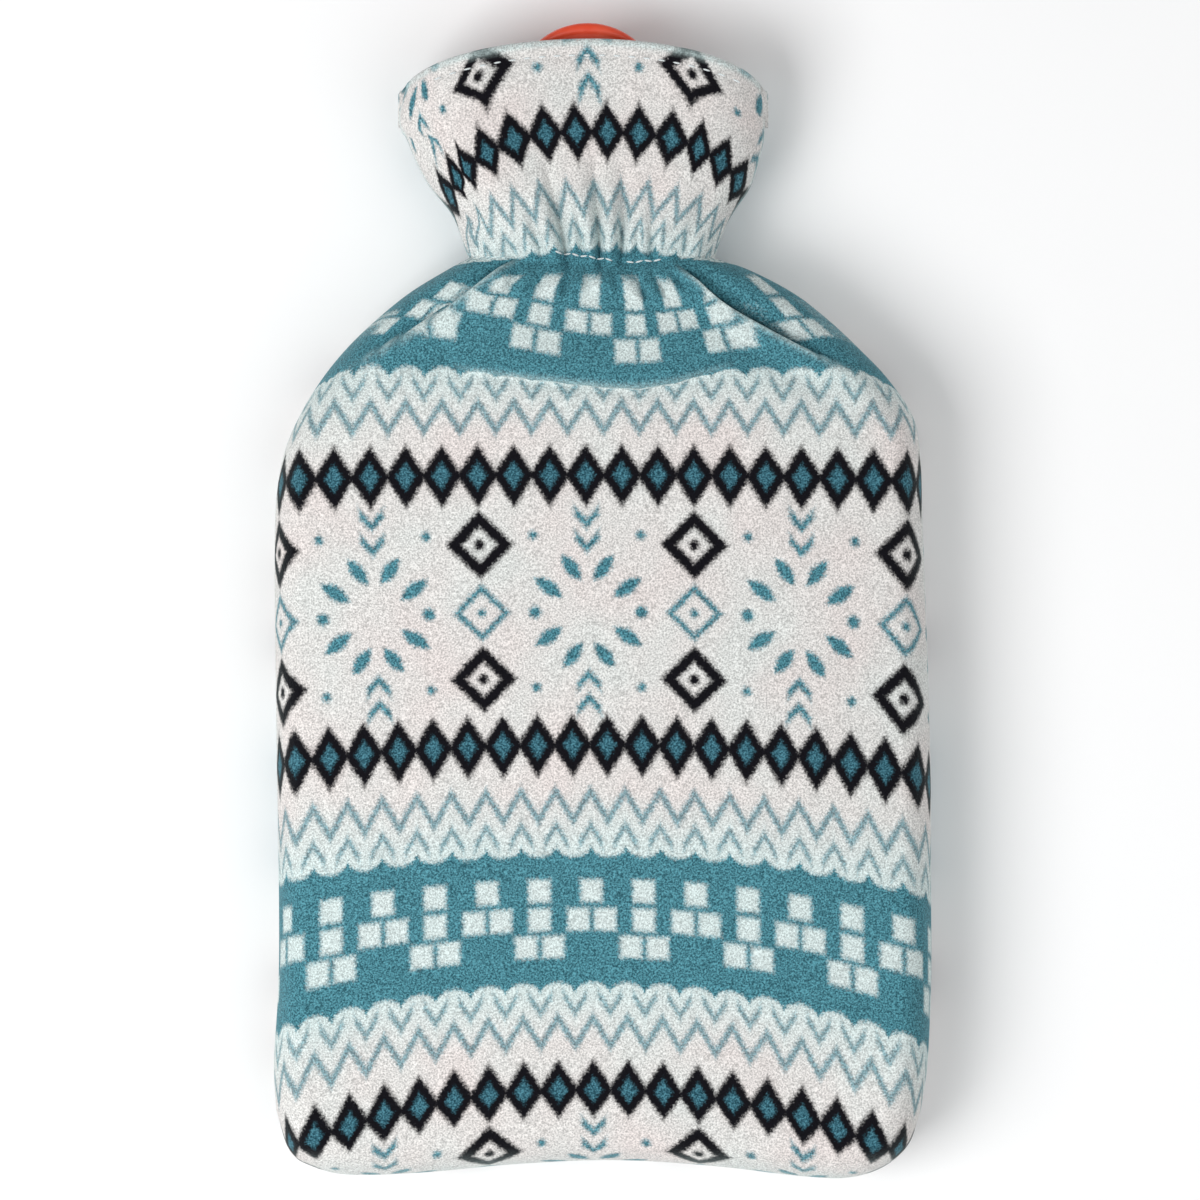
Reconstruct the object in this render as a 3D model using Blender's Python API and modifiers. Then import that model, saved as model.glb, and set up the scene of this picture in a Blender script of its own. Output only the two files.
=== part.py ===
"""A hot water bottle's cover of printed fleece, lying on its back, with the bottle it fits.

The cover is two panels of one outline, sewn together at the sides and the bottom. Each panel is
an open sheet with the cloth's thickness: bands that turn down to the seam round the edge, and a
face inside them. The collar is part of both panels: it is drawn in at the neck and spreads again
to its hem, round the bottle's funnel.

+X is the cover's right, +Y runs from its bottom seam to the collar, and +Z is up. The back lies
flat on z = 0. Sizes are in millimetres, and MM turns them into metres.
"""
import math

import bmesh
import bpy
import numpy as np

MM = 0.001

CLOTH = 2.0             # fleece with its pile
SEAM_HEIGHT = 18.0      # the seam above the floor, all the way round
SEAM_GAP = 0.3          # between the two panels' cut edges
SEAM_STAND = 1.5        # the cloth stands straight beside the seam, then turns
HEM_HEIGHT = 156.5      # where the hem meets the side seams
HEM_BOW = 18.0          # the hem's middle reaches this much farther
COLLAR_CENTRE = -4.2    # the collar leans a little to the left
ELASTIC = 106.6         # where the neck is drawn in
FLAT_BELOW = 80.0       # the back is quite flat below this line
SHOULDER_END = 45.0     # the shoulders' curve has run into the sides here
ELASTIC_SAG = 2.0       # the drawn-in line hangs down in the middle
ELASTIC_DEPTH = 2.2
ELASTIC_WIDTH = 3.2
WALL_CLEARANCE = 4.0    # from the cover's outline to the bottle
SHOULDER_CLEARANCE = 9.0
BOTTLE_LOW = 3.2        # the bottle's underside, on the back panel
BOTTLE_GAP_ABOVE = 3.4  # from the face down to the bottle
LIP_TOP = 178.9
LIP_RADIUS = 24.0
FUNNEL_CENTRE = (-4.6, 18.2)   # x and z of the neck's axis
FUNNEL_WALL = 3.0
LIP_ROUND = 0.7
FUNNEL_FLOOR = 132.0

# Side edges from above: y, left x, right x. The first table is the collar, the second the body.
COLLAR_EDGES = (
    (HEM_HEIGHT, -62.2, 50.2),
    (149.5, -63.3, 50.5),
    (142.0, -60.9, 50.0),
    (133.5, -57.8, 48.2),
    (126.0, -53.6, 45.5),
    (118.0, -46.8, 40.0),
    (112.0, -44.0, 36.9),
    (ELASTIC, -41.7, 34.9),
)
BODY_EDGES = (
    (ELASTIC, -41.7, 34.9),
    (103.0, -48.4, 45.6),
    (96.0, -59.9, 59.1),
    (88.0, -69.8, 69.6),
    (79.0, -79.2, 79.3),
    (69.0, -87.3, 88.8),
    (57.0, -94.5, 96.6),
    (45.0, -99.2, 98.8),
    (30.0, -101.5, 99.3),
    (5.0, -101.9, 100.2),
    (-45.0, -101.3, 101.8),
    (-90.0, -100.6, 102.1),
    (-118.0, -100.7, 102.1),
    (-143.0, -102.1, 101.0),
    (-158.0, -101.4, 98.9),
)
# Bottom edge from above, left corner to right corner: x, y.
BOTTOM_EDGE = (
    (-101.4, -158.0),
    (-97.2, -170.6),
    (-90.4, -175.3),
    (-79.0, -178.0),
    (-56.6, -177.4),
    (-26.5, -174.7),
    (3.0, -173.5),
    (33.0, -175.2),
    (62.0, -178.5),
    (76.5, -178.9),
    (87.5, -175.4),
    (95.0, -168.6),
    (98.9, -158.0),
)
# How full the cover is along y: the front's rise over the seam, the share of the seam's height
# that the back comes down, the width of the turned edge, and the face's extra crown.
FULLNESS = (
    # y, rise, back share, edge width, crown
    (HEM_HEIGHT + HEM_BOW, 18.5, 0.88, 24.0, 0.0),
    (150.0, 19.5, 0.88, 24.0, 0.0),
    (128.0, 20.0, 0.88, 22.0, 0.0),
    (ELASTIC, 18.8, 0.90, 17.0, 0.0),
    (96.0, 20.5, 0.97, 15.0, 0.5),
    (80.0, 21.5, 1.0, 13.0, 2.5),
    (40.0, 22.0, 1.0, 11.0, 5.5),
    (-130.0, 22.0, 1.0, 11.0, 5.5),
    (-160.0, 21.0, 1.0, 11.0, 2.5),
    (-180.0, 20.0, 1.0, 11.0, 0.0),
)
# Gathers and short creases of the front, each a soft trough between two points.
CREASES = (
    # x, y of one end, x, y of the other, depth, half width
    (-43.5, 138.0, -34.1, 109.0, 2.6, 2.6),
    (-34.0, 126.0, -25.9, 108.4, 2.2, 2.3),
    (-18.0, 135.0, -11.4, 108.4, 2.6, 2.4),
    (-2.4, 133.0, -0.8, 108.0, 2.0, 2.2),
    (6.4, 131.0, 5.3, 108.0, 2.0, 2.2),
    (15.6, 123.0, 14.8, 108.0, 1.4, 2.2),
    (34.5, 131.0, 24.6, 108.6, 2.6, 2.6),
    (-9.4, 103.4, -13.0, 95.0, 1.2, 2.0),
    (9.4, 102.6, 12.6, 95.0, 1.2, 2.0),
    (15.2, 102.0, 18.5, 96.0, 1.0, 2.0),
    (-41.0, 69.0, -8.0, 64.5, 1.2, 4.0),
    (-8.0, 64.5, 32.0, 68.5, 1.4, 4.0),
)
# Tucks in the shoulders: the belly's cloth rides up over the strip above it.
TUCKS = (
    # x, y at the neck, x, y at the side, ridge height, trough depth, width
    (-28.4, 103.8, -82.3, 70.6, 2.2, 5.0, 4.2),
    (24.6, 102.5, 83.2, 69.7, 1.6, 5.0, 4.0),
)
# The bottle's body: y, share of its full depth.
BOTTLE_BODY = (
    (-170.0, 0.30),
    (-168.5, 0.62),
    (-164.0, 0.86),
    (-155.0, 1.0),
    (-120.0, 1.0),
    (-60.0, 1.0),
    (0.0, 1.0),
    (30.0, 1.0),
    (50.0, 1.0),
    (66.0, 0.98),
    (78.0, 0.94),
    (88.0, 0.88),
    (95.0, 0.80),
)
BOTTLE_CORNER = 14.0
SHOULDER_DROP = 2.5
BODY_SQUARENESS = 4.0       # exponent of the body's rounded section
FUNNEL_SQUARENESS = 2.2     # and of the neck's and the funnel's
# The neck and the funnel outside: y, half width, half depth.
FUNNEL = (
    (101.0, 17.0, 13.0),
    (108.0, 14.0, 12.6),
    (118.0, 14.5, 12.8),
    (134.0, 20.0, 13.2),
    (150.0, LIP_RADIUS, 13.6),
)

# Rings over the funnel's lip: inset from its outside, share of the tongue's height.
LIP_RINGS = (
    (0.0, 0.96),
    (LIP_ROUND, 1.0),
    (FUNNEL_WALL - LIP_ROUND, 1.0),
    (FUNNEL_WALL, 0.96),
    (FUNNEL_WALL, 0.0),
)
FLOOR_HALF_SIZES = (13.0, 9.6)
# The stopper's turned profile from its grip down to the plug: radius, height.
STOPPER_PROFILE = (
    (0.0, 12.0),
    (3.0, 12.0),
    (4.6, 10.8),
    (4.6, 6.0),
    (8.4, 4.6),
    (8.4, 0.0),
    (0.0, 0.0),
)

FRONT_GRID = (11, 15, 7, 28)    # rows in the collar, the shoulders and the trunk, and columns
BACK_GRID = (6, 8, 6, 16)
FRONT_TURNS = (0.0, 14.0, 34.0, 52.0, 68.0, 80.0, 90.0)    # degrees round the turned edge
BACK_TURNS = (0.0, 16.0, 50.0, 90.0)
CROWN_ROWS = 4      # rows over which the crown grows from the bottom edge
RING_POINTS = 32

FLEECE_WHITE = (0.62, 0.66, 0.65)
FLEECE_TEAL = (0.16, 0.33, 0.38)
RUBBER_RED = (0.80, 0.07, 0.02)


# ---------------------------------------------------------------- lines and tables

def spline(points, pieces=12):
    """Catmull-Rom curve through the points, as a fine polyline."""
    knots = np.array(points, dtype=float)
    padded = np.vstack((2 * knots[0] - knots[1], knots, 2 * knots[-1] - knots[-2]))
    curve = []
    for a, b, c, d in zip(padded, padded[1:], padded[2:], padded[3:]):
        for t in np.arange(pieces) / pieces:
            curve.append(0.5 * (2 * b + (c - a) * t + (2 * a - 5 * b + 4 * c - d) * t ** 2
                                + (3 * b - a - 3 * c + d) * t ** 3))
    curve.append(knots[-1])
    return np.array(curve)


def spread(line, count):
    """The polyline again as count equal steps."""
    steps = np.linalg.norm(np.diff(line, axis=0), axis=1)
    length = np.concatenate(((0.0,), np.cumsum(steps)))
    wanted = np.linspace(0.0, length[-1], count + 1)
    return np.column_stack([np.interp(wanted, length, line[:, k]) for k in range(2)])


def column(table, index, y):
    """One column of a table whose first column is y, smooth between its rows."""
    line = spline([(row[0], row[index]) for row in table])
    order = np.argsort(line[:, 0])
    return np.interp(y, line[order, 0], line[order, 1])


def edge(table, index):
    """One side edge from a table of edges, as a polyline of x and y."""
    return spline([(row[index], row[0]) for row in table])


def inward(line):
    """Unit normals of the outline, pointing into the cover."""
    tangent = np.gradient(line, axis=0)
    tangent[0] = tangent[-1] = (0.0, -1.0)
    tangent[-1] *= -1.0
    normal = np.column_stack((-tangent[:, 1], tangent[:, 0]))
    return normal / np.linalg.norm(normal, axis=1)[:, None]


# ---------------------------------------------------------------- the cover's shape

def side(index, collar_rows, shoulder_rows, trunk_rows):
    """One side of the outline from the hem down, without its last point."""
    collar = edge(COLLAR_EDGES, index)
    body = edge(BODY_EDGES, index)
    shoulder = body[body[:, 1] >= SHOULDER_END]
    trunk = body[body[:, 1] <= SHOULDER_END]
    return np.vstack((spread(collar, collar_rows)[:-1], spread(shoulder, shoulder_rows)[:-1],
                      spread(trunk, trunk_rows)[:-1]))


def outline(rows, columns):
    """The sewn edge from the hem's left end round the bottom to its right end."""
    bottom = spread(spline(BOTTOM_EDGE), columns)
    return np.vstack((side(1, *rows), bottom, side(2, *rows)[::-1]))


def bow(x, y):
    """Lifts the collar's middle, so that the hem is an arc."""
    half = np.where(x < COLLAR_CENTRE, COLLAR_CENTRE + 62.2, 50.2 - COLLAR_CENTRE)
    across = np.clip(np.abs(x - COLLAR_CENTRE) / half, 0.0, 1.0)
    along = np.clip((y - ELASTIC) / (HEM_HEIGHT - ELASTIC), 0.0, 1.0)
    return y + HEM_BOW * (1.0 - across ** 2) ** 0.6 * along


def patch(edges, rows, columns):
    """Grid inside four edges: left and right down the rows, and the two ends across."""
    left, right, top, bottom = edges
    v = np.linspace(0.0, 1.0, rows + 1)[:, None, None]
    u = np.linspace(0.0, 1.0, columns + 1)[None, :, None]
    sides = (1 - u) * left[:, None] + u * right[:, None]
    ends = (1 - v) * top[None] + v * bottom[None]
    corners = ((1 - v) * ((1 - u) * left[0] + u * right[0])
               + v * ((1 - u) * left[-1] + u * right[-1]))
    return sides + ends - corners


def beside(x, y, start, end):
    """Distance along a segment as a share of it, and the distance to its left."""
    run = np.subtract(end, start)
    length = np.hypot(*run)
    along = ((x - start[0]) * run[0] + (y - start[1]) * run[1]) / length ** 2
    aside = (run[0] * (y - start[1]) - run[1] * (x - start[0])) / length
    return along, aside


def taper(along, fade=0.25):
    """1 along a segment, falling softly to 0 past its two ends."""
    outside = np.maximum(-along, along - 1.0)
    return np.clip(1.0 - np.maximum(outside, 0.0) / fade, 0.0, 1.0) ** 2


def folds(x, y):
    """Height that the front's gathers, creases, tucks and drawn-in neck add."""
    height = np.zeros_like(x)
    for x0, y0, x1, y1, depth, width in CREASES:
        along, aside = beside(x, y, (x0, y0), (x1, y1))
        height -= depth * np.exp(-(aside / width) ** 2) * taper(along)
    for x0, y0, x1, y1, ridge, trough, width in TUCKS:
        along, aside = beside(x, y, (x0, y0), (x1, y1))
        above = np.where(x1 < x0, -aside, aside)
        height += ridge * np.exp(-((above + 1.2 * width) / width) ** 2) * taper(along, 0.1)
        height -= trough * np.exp(-((above - 0.6 * width) / width) ** 2) * taper(along, 0.1)
    line = ELASTIC - ELASTIC_SAG * np.clip(1.0 - ((x - COLLAR_CENTRE) / 36.0) ** 2, 0.0, 1.0)
    height -= ELASTIC_DEPTH * np.exp(-((y - line) / ELASTIC_WIDTH) ** 2)
    return height


def front_height(x, y, turn, crown_share):
    """Height of the front over the turn's foot, where turn is 0 at the foot and 90 on the face."""
    lift = math.sin(math.radians(turn))
    rise = column(FULLNESS, 1, y) * lift
    crown = column(FULLNESS, 4, y) * crown_share
    return SEAM_HEIGHT + SEAM_GAP / 2 + SEAM_STAND + rise + crown + folds(x, y) * lift ** 2


def back_height(x, y, turn, crown_share):
    """Height of the back over the floor, flat on it under the whole body."""
    lift = math.sin(math.radians(turn))
    share = np.where(y < FLAT_BELOW, 1.0, np.minimum(column(FULLNESS, 2, y), 1.0))
    return (SEAM_HEIGHT - SEAM_GAP / 2 - SEAM_STAND) * (1.0 - share * lift)


def turned_edge(rim, turns):
    """The outline and its copies farther in, one for each angle of the turned edge."""
    width = column(FULLNESS, 3, rim[:, 1])[:, None]
    normal = inward(rim)
    return [rim + normal * width * (1.0 - math.cos(math.radians(turn))) for turn in turns]


def face_grid(edge_line, rows, columns):
    """Grid of the face inside the turned edge, its first row along the hem."""
    left = edge_line[:rows + 1]
    right = edge_line[rows + columns:][::-1]
    bottom = edge_line[rows:rows + columns + 1]
    top = left[0] + np.linspace(0.0, 1.0, columns + 1)[:, None] * (right[0] - left[0])
    return patch((left, right, top, bottom), rows, columns)


def crown_shares(rows, columns):
    """How much of the crown each point of the face takes: none along its edge."""
    across = 1.0 - np.linspace(-1.0, 1.0, columns + 1) ** 2
    along = np.minimum(1.0, np.arange(rows, -1, -1) / CROWN_ROWS)
    return along[:, None] * across[None]


def panel(name, grid, turns, height, seam, colour):
    """A panel of the cover: its turned edge and its face, with the cloth's thickness inside."""
    *row_groups, columns = grid
    rows = sum(row_groups)
    rings = turned_edge(outline(row_groups, columns), turns)
    face = face_grid(rings[-1], rows, columns)
    crowns = crown_shares(rows, columns)
    mesh = bmesh.new()

    def vertex(x, y, turn, crown):
        lifted = bow(x, y)
        return mesh.verts.new((x * MM, lifted * MM, height(x, lifted, turn, crown) * MM))

    edge_verts = [[vertex(x, y, turn, 0.0) for x, y in ring]
                  for ring, turn in zip(rings[:-1], turns)]
    seam_verts = [mesh.verts.new((vert.co.x, vert.co.y, seam * MM)) for vert in edge_verts[0]]
    face_verts = [[vertex(*point, 90.0, crown) for point, crown in zip(line, shares)]
                  for line, shares in zip(face, crowns)]
    join = ([line[0] for line in face_verts[:-1]] + face_verts[-1]
            + [line[-1] for line in face_verts[-2::-1]])
    lines = [seam_verts] + edge_verts + [join]
    for low, high in zip(lines, lines[1:]):
        for k in range(len(low) - 1):
            mesh.faces.new((low[k], low[k + 1], high[k + 1], high[k]))
    for upper, lower in zip(face_verts, face_verts[1:]):
        for k in range(columns):
            mesh.faces.new((upper[k], lower[k], lower[k + 1], upper[k + 1]))
    if seam < SEAM_HEIGHT:
        bmesh.ops.reverse_faces(mesh, faces=mesh.faces)
    sheet = add_object(name, mesh, colour, 0.95)
    solidify = sheet.modifiers.new("Cloth thickness", "SOLIDIFY")
    solidify.thickness = CLOTH * MM
    solidify.offset = -1.0


# ---------------------------------------------------------------- the bottle

def ring_shape(half_width, half_depth, power):
    """Closed section across the bottle: a rounded rectangle or an oval."""
    ring = []
    for k in range(RING_POINTS):
        angle = 2.0 * math.pi * k / RING_POINTS
        c, s = math.cos(angle), math.sin(angle)
        ring.append((half_width * math.copysign(abs(c) ** (2.0 / power), c),
                     half_depth * math.copysign(abs(s) ** (2.0 / power), s)))
    return ring


def ramp(value, start, end):
    """0 up to start, 1 from end on, straight between."""
    return min(1.0, max(0.0, (value - start) / (end - start)))


def body_rings():
    """Sections of the filled body, from its bottom edge to the shoulders."""
    left = edge(BODY_EDGES, 1)
    right = edge(BODY_EDGES, 2)
    rings = []
    for y, fill in BOTTLE_BODY:
        shoulder = ramp(y, 30.0, 60.0)
        clearance = WALL_CLEARANCE + (SHOULDER_CLEARANCE - WALL_CLEARANCE) * shoulder
        corner = BOTTLE_CORNER * (1.0 - ramp(y, BOTTLE_BODY[0][0] - 1.0, -155.0)) ** 2
        x0 = np.interp(-y, -left[:, 1], left[:, 0]) + clearance + corner
        x1 = np.interp(-y, -right[:, 1], right[:, 0]) - clearance - corner
        top = SEAM_HEIGHT + column(FULLNESS, 1, y) - BOTTLE_GAP_ABOVE - SHOULDER_DROP * shoulder
        middle = (top + BOTTLE_LOW) / 2
        half = (top - BOTTLE_LOW) / 2 * fill
        rings.append([((x0 + x1) / 2 + a, y, middle + b)
                      for a, b in ring_shape((x1 - x0) / 2, half, BODY_SQUARENESS)])
    return rings


def lip(x, y_straight, share):
    """y of a funnel ring, the rim's rounded tongue growing out of the straight rings."""
    rim = LIP_TOP - LIP_RADIUS + math.sqrt(max(0.0, LIP_RADIUS ** 2 - x ** 2))
    return y_straight + (rim - y_straight) * share


def funnel_rings():
    """Neck and funnel outside, over the rim, and down inside to the funnel's floor."""
    cx, cz = FUNNEL_CENTRE
    rings = [[(cx + a, y, cz + b) for a, b in ring_shape(half_width, half_depth, FUNNEL_SQUARENESS)]
             for y, half_width, half_depth in FUNNEL]
    straight, half_width, half_depth = FUNNEL[-1]
    for inset, share in LIP_RINGS:
        shape = ring_shape(half_width - inset, half_depth - inset, FUNNEL_SQUARENESS)
        rings.append([(cx + a, lip(a, straight, share), cz + b) for a, b in shape])
    floor = ring_shape(*FLOOR_HALF_SIZES, FUNNEL_SQUARENESS)
    rings.append([(cx + a, FUNNEL_FLOOR, cz + b) for a, b in floor])
    return rings


def bottle():
    """The rubber bottle: a plain filled body, a round neck and an oval funnel with its lip."""
    mesh = bmesh.new()
    rings = [[mesh.verts.new((x * MM, y * MM, z * MM)) for x, y, z in ring]
             for ring in body_rings() + funnel_rings()]
    for low, high in zip(rings, rings[1:]):
        for k in range(RING_POINTS):
            n = (k + 1) % RING_POINTS
            mesh.faces.new((low[k], high[k], high[n], low[n]))
    mesh.faces.new(rings[0])
    mesh.faces.new(rings[-1][::-1])
    bmesh.ops.recalc_face_normals(mesh, faces=mesh.faces)
    add_object("bottle", mesh, RUBBER_RED, 0.45)


def stopper():
    """Turned stopper on the funnel's floor: a plug head and a round grip."""
    mesh = bmesh.new()
    verts = [mesh.verts.new((radius * MM, 0.0, height * MM)) for radius, height in STOPPER_PROFILE]
    for a, b in zip(verts, verts[1:]):
        mesh.edges.new((a, b))
    knob = add_object("stopper", mesh, RUBBER_RED, 0.4)
    knob.location = (FUNNEL_CENTRE[0] * MM, (FUNNEL_FLOOR + SEAM_GAP) * MM, FUNNEL_CENTRE[1] * MM)
    knob.rotation_euler = (-math.pi / 2, 0.0, 0.0)
    screw = knob.modifiers.new("Turned", "SCREW")
    screw.steps = 20
    screw.render_steps = 20
    screw.use_merge_vertices = True
    screw.merge_threshold = 0.00005


# ---------------------------------------------------------------- scene objects

def material(name, colour, roughness):
    """Principled material of one colour."""
    mat = bpy.data.materials.new(name)
    mat.use_nodes = True
    shader = mat.node_tree.nodes["Principled BSDF"]
    shader.inputs["Base Color"].default_value = (*colour, 1.0)
    shader.inputs["Roughness"].default_value = roughness
    shader.inputs["Metallic"].default_value = 0.0
    return mat


def add_object(name, mesh, colour, roughness):
    """Turns a bmesh into a named object in the cover's collection, shaded smooth."""
    data = bpy.data.meshes.new(name)
    mesh.to_mesh(data)
    mesh.free()
    data.shade_smooth()
    data.materials.append(material(name, colour, roughness))
    obj = bpy.data.objects.new(name, data)
    bpy.data.collections["hot_water_bottle_cover"].objects.link(obj)
    return obj


def main():
    for obj in list(bpy.data.objects):
        bpy.data.objects.remove(obj, do_unlink=True)
    collection = bpy.data.collections.new("hot_water_bottle_cover")
    bpy.context.scene.collection.children.link(collection)
    half_gap = SEAM_GAP / 2
    panel("cover_front", FRONT_GRID, FRONT_TURNS, front_height, SEAM_HEIGHT + half_gap, FLEECE_WHITE)
    panel("cover_back", BACK_GRID, BACK_TURNS, back_height, SEAM_HEIGHT - half_gap, FLEECE_TEAL)
    bottle()
    stopper()


main()
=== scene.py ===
"""A hot water bottle in its printed fleece cover, laid out as an add-on.

The cover is two panels of brushed fleece, sewn together at the sides and the bottom and drawn in
by elastic at the neck. Its collar opens round the funnel of the rubber bottle. Every piece rides
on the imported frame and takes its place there. Sizes in this file are in millimetres, and MM turns
them into metres.
"""
import functools
import math

import bpy
import numpy as np
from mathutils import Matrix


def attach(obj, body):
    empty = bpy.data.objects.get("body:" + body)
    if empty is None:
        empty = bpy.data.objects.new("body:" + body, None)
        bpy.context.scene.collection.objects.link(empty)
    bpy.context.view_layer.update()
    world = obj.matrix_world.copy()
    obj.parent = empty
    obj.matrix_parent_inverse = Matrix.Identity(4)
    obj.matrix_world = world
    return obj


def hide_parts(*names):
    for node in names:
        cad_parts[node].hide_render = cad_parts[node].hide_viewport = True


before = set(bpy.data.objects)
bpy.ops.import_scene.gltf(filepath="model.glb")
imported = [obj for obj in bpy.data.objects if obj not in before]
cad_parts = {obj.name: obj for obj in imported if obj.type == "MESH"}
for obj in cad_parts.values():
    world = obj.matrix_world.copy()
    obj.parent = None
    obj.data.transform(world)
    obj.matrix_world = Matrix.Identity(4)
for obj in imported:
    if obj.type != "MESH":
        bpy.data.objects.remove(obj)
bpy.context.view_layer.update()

bl_info = {
    "name": "Hot Water Bottle Cover",
    "version": (1, 0, 0),
    "blender": (4, 5, 0),
    "location": "3D View > Sidebar > Bottle Cover",
    "description": "Builds a printed fleece cover round a rubber hot water bottle",
    "category": "Add Mesh",
}

MM = 0.001

SEAM_HEIGHT = 18.0      # the seam above the floor, all the way round
SEAM_GAP = 0.3          # between the two panels' cut edges
SEAM_STAND = 1.5        # the cloth stands straight beside the seam, then turns
SEAM_TURN_IN = 1.3      # its cut edge is sewn inwards by this much
HEM_HEIGHT = 156.5      # where the hem meets the side seams
HEM_BOW = 15.6          # the hem's middle reaches this much farther
HEM_ROUNDNESS = 0.6     # power of the hem's arc, under 1 for full ends
HEM_UNDER = 9.0         # the cloth folded under at the hem
HEM_SLACK = 0.3         # air between its layers
# The fold over the hem's edge: how far each row lies beyond the hem, share of the depth.
HEM_ROLL = ((0.9, 0.12), (1.5, 0.5), (0.9, 0.88), (0.0, 1.0), (-HEM_UNDER / 2, 1.0), (-HEM_UNDER, 1.0))
COLLAR_CENTRE = -4.2    # the collar leans a little to the left
ELASTIC = 106.6         # where the neck is drawn in
FLAT_BELOW = 80.0       # the back is quite flat below this line
SHOULDER_END = 45.0     # the shoulders' curve has run into the sides here
ELASTIC_SAG = 2.0       # the drawn-in line hangs down in the middle
ELASTIC_SAG_REACH = 36.0
ELASTIC_DEPTH = 2.2
ELASTIC_WIDTH = 3.2
ELASTIC_GROOVE = (0.5, 0.8)     # depth and width of the groove that its stitches pull in
WALL_CLEARANCE = 4.0    # from the cover's outline to the bottle
SHOULDER_CLEARANCE = 9.0
BOTTLE_LOW = 3.2        # the bottle's underside, on the back panel
BOTTLE_GAP_ABOVE = 3.4  # from the face down to the bottle
LIP_TOP = 178.9
LIP_RADIUS = 24.0
FUNNEL_CENTRE = (-4.6, 18.2)   # x and z of the neck's axis
FUNNEL_FLOOR = 132.0

# Side edges from above: y, left x, right x. The first table is the collar, the second the body.
COLLAR_EDGES = (
    (HEM_HEIGHT, -62.2, 50.2), (149.5, -63.3, 50.5), (142.0, -60.9, 50.0),
    (133.5, -57.8, 48.2), (126.0, -53.6, 45.5), (118.0, -46.8, 40.0),
    (112.0, -44.0, 36.9), (ELASTIC, -41.7, 34.9),
)
BODY_EDGES = (
    (ELASTIC, -41.7, 34.9), (103.0, -48.4, 45.6), (96.0, -59.9, 59.1),
    (88.0, -69.8, 69.6), (79.0, -79.2, 79.3), (69.0, -87.3, 88.8),
    (57.0, -94.5, 96.6), (45.0, -99.2, 98.8), (30.0, -101.5, 99.3),
    (5.0, -101.9, 100.2), (-45.0, -101.3, 101.8), (-90.0, -100.6, 102.1),
    (-118.0, -100.7, 102.1), (-143.0, -102.1, 101.0), (-158.0, -101.4, 98.9),
)
# Bottom edge from above, left corner to right corner: x, y.
BOTTOM_EDGE = (
    (-101.4, -158.0), (-97.2, -170.6), (-90.4, -175.3), (-79.0, -178.0),
    (-56.6, -177.4), (-26.5, -174.7), (3.0, -173.5), (33.0, -175.2),
    (62.0, -178.5), (76.5, -178.9), (87.5, -175.4), (95.0, -168.6),
    (98.9, -158.0),
)
# How full the cover is along y: the front's rise over the seam, the share of the seam's height
# that the back comes down, the width of the turned edge, and the face's extra crown.
FULLNESS = (
    # y, rise, back share, edge width, crown
    (HEM_HEIGHT + HEM_BOW, 18.5, 0.88, 24.0, 0.0),
    (150.0, 19.5, 0.88, 24.0, 0.0),
    (128.0, 20.0, 0.88, 22.0, 0.0),
    (ELASTIC, 18.8, 0.90, 17.0, 0.0),
    (96.0, 20.5, 0.97, 15.0, 0.5),
    (80.0, 21.5, 1.0, 13.0, 2.5),
    (40.0, 22.0, 1.0, 11.0, 5.5),
    (-130.0, 22.0, 1.0, 11.0, 5.5),
    (-160.0, 21.0, 1.0, 11.0, 2.5),
    (-180.0, 20.0, 1.0, 11.0, 0.0),
)
RIDGE_HEIGHT = 0.55     # of a gather's two soft ridges, to the depth of its sharp trough
RIDGE_WIDTH = 3.4       # to the trough's width
GATHER_OPENING = 1.4    # how much wider a gather is at its far end
RIPPLE = 0.16           # unevenness of the cloth all over
# Gathers of the front's collar and short creases under the elastic.
GATHERS = (
    # x, y of one end, x, y of the other, depth, half width
    (-47.0, 144.0, -37.4, 117.0, 4.2, 1.2),
    (-41.5, 133.0, -29.4, 109.0, 3.6, 1.5),
    (-33.0, 124.0, -25.0, 108.4, 2.6, 1.4),
    (-23.4, 123.0, -19.0, 108.0, 3.4, 1.1),
    (-17.4, 137.0, -11.6, 108.4, 8.0, 1.4),
    (-7.8, 122.0, -6.2, 108.0, 3.0, 1.0),
    (-2.4, 137.0, -1.0, 108.0, 7.4, 1.2),
    (6.8, 133.0, 5.8, 108.0, 7.0, 1.2),
    (11.4, 119.0, 10.4, 108.0, 2.6, 1.0),
    (15.4, 123.0, 15.0, 107.8, 4.4, 1.0),
    (22.2, 121.0, 19.6, 108.0, 3.4, 1.0),
    (33.6, 129.0, 24.6, 108.6, 6.6, 1.3),
    (39.5, 121.0, 30.5, 109.0, 2.4, 1.0),
    (-24.6, 103.8, -29.0, 97.0, 2.8, 1.1),
    (-17.0, 103.0, -20.4, 96.0, 2.6, 1.1),
    (-9.0, 104.0, -12.0, 95.4, 3.6, 1.1),
    (-3.5, 103.3, -5.2, 96.5, 3.2, 1.0),
    (3.4, 103.0, 4.4, 96.0, 2.4, 1.0),
    (9.6, 102.8, 13.0, 94.0, 4.4, 1.1),
    (15.1, 102.6, 19.0, 95.0, 4.0, 1.1),
    (20.0, 102.6, 25.5, 96.5, 2.6, 1.0),
)
# Long soft hollows in the face.
HOLLOWS = (
    (-62.0, 150.0, -49.0, 125.0, 1.4, 3.2),
    (44.0, 138.0, 36.0, 116.0, 1.0, 2.6),
    (26.0, 90.0, 66.0, 66.0, 0.9, 5.0),
    (-20.0, 84.0, -58.0, 74.0, 0.7, 5.0),
    (60.0, 30.0, 92.0, 20.0, 0.4, 7.0),
    (-92.0, 36.0, -60.0, 30.0, 0.4, 7.0),
    (88.0, -120.0, 60.0, -150.0, 0.6, 8.0),
    (-90.0, -116.0, -58.0, -150.0, 0.6, 8.0),
)
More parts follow.
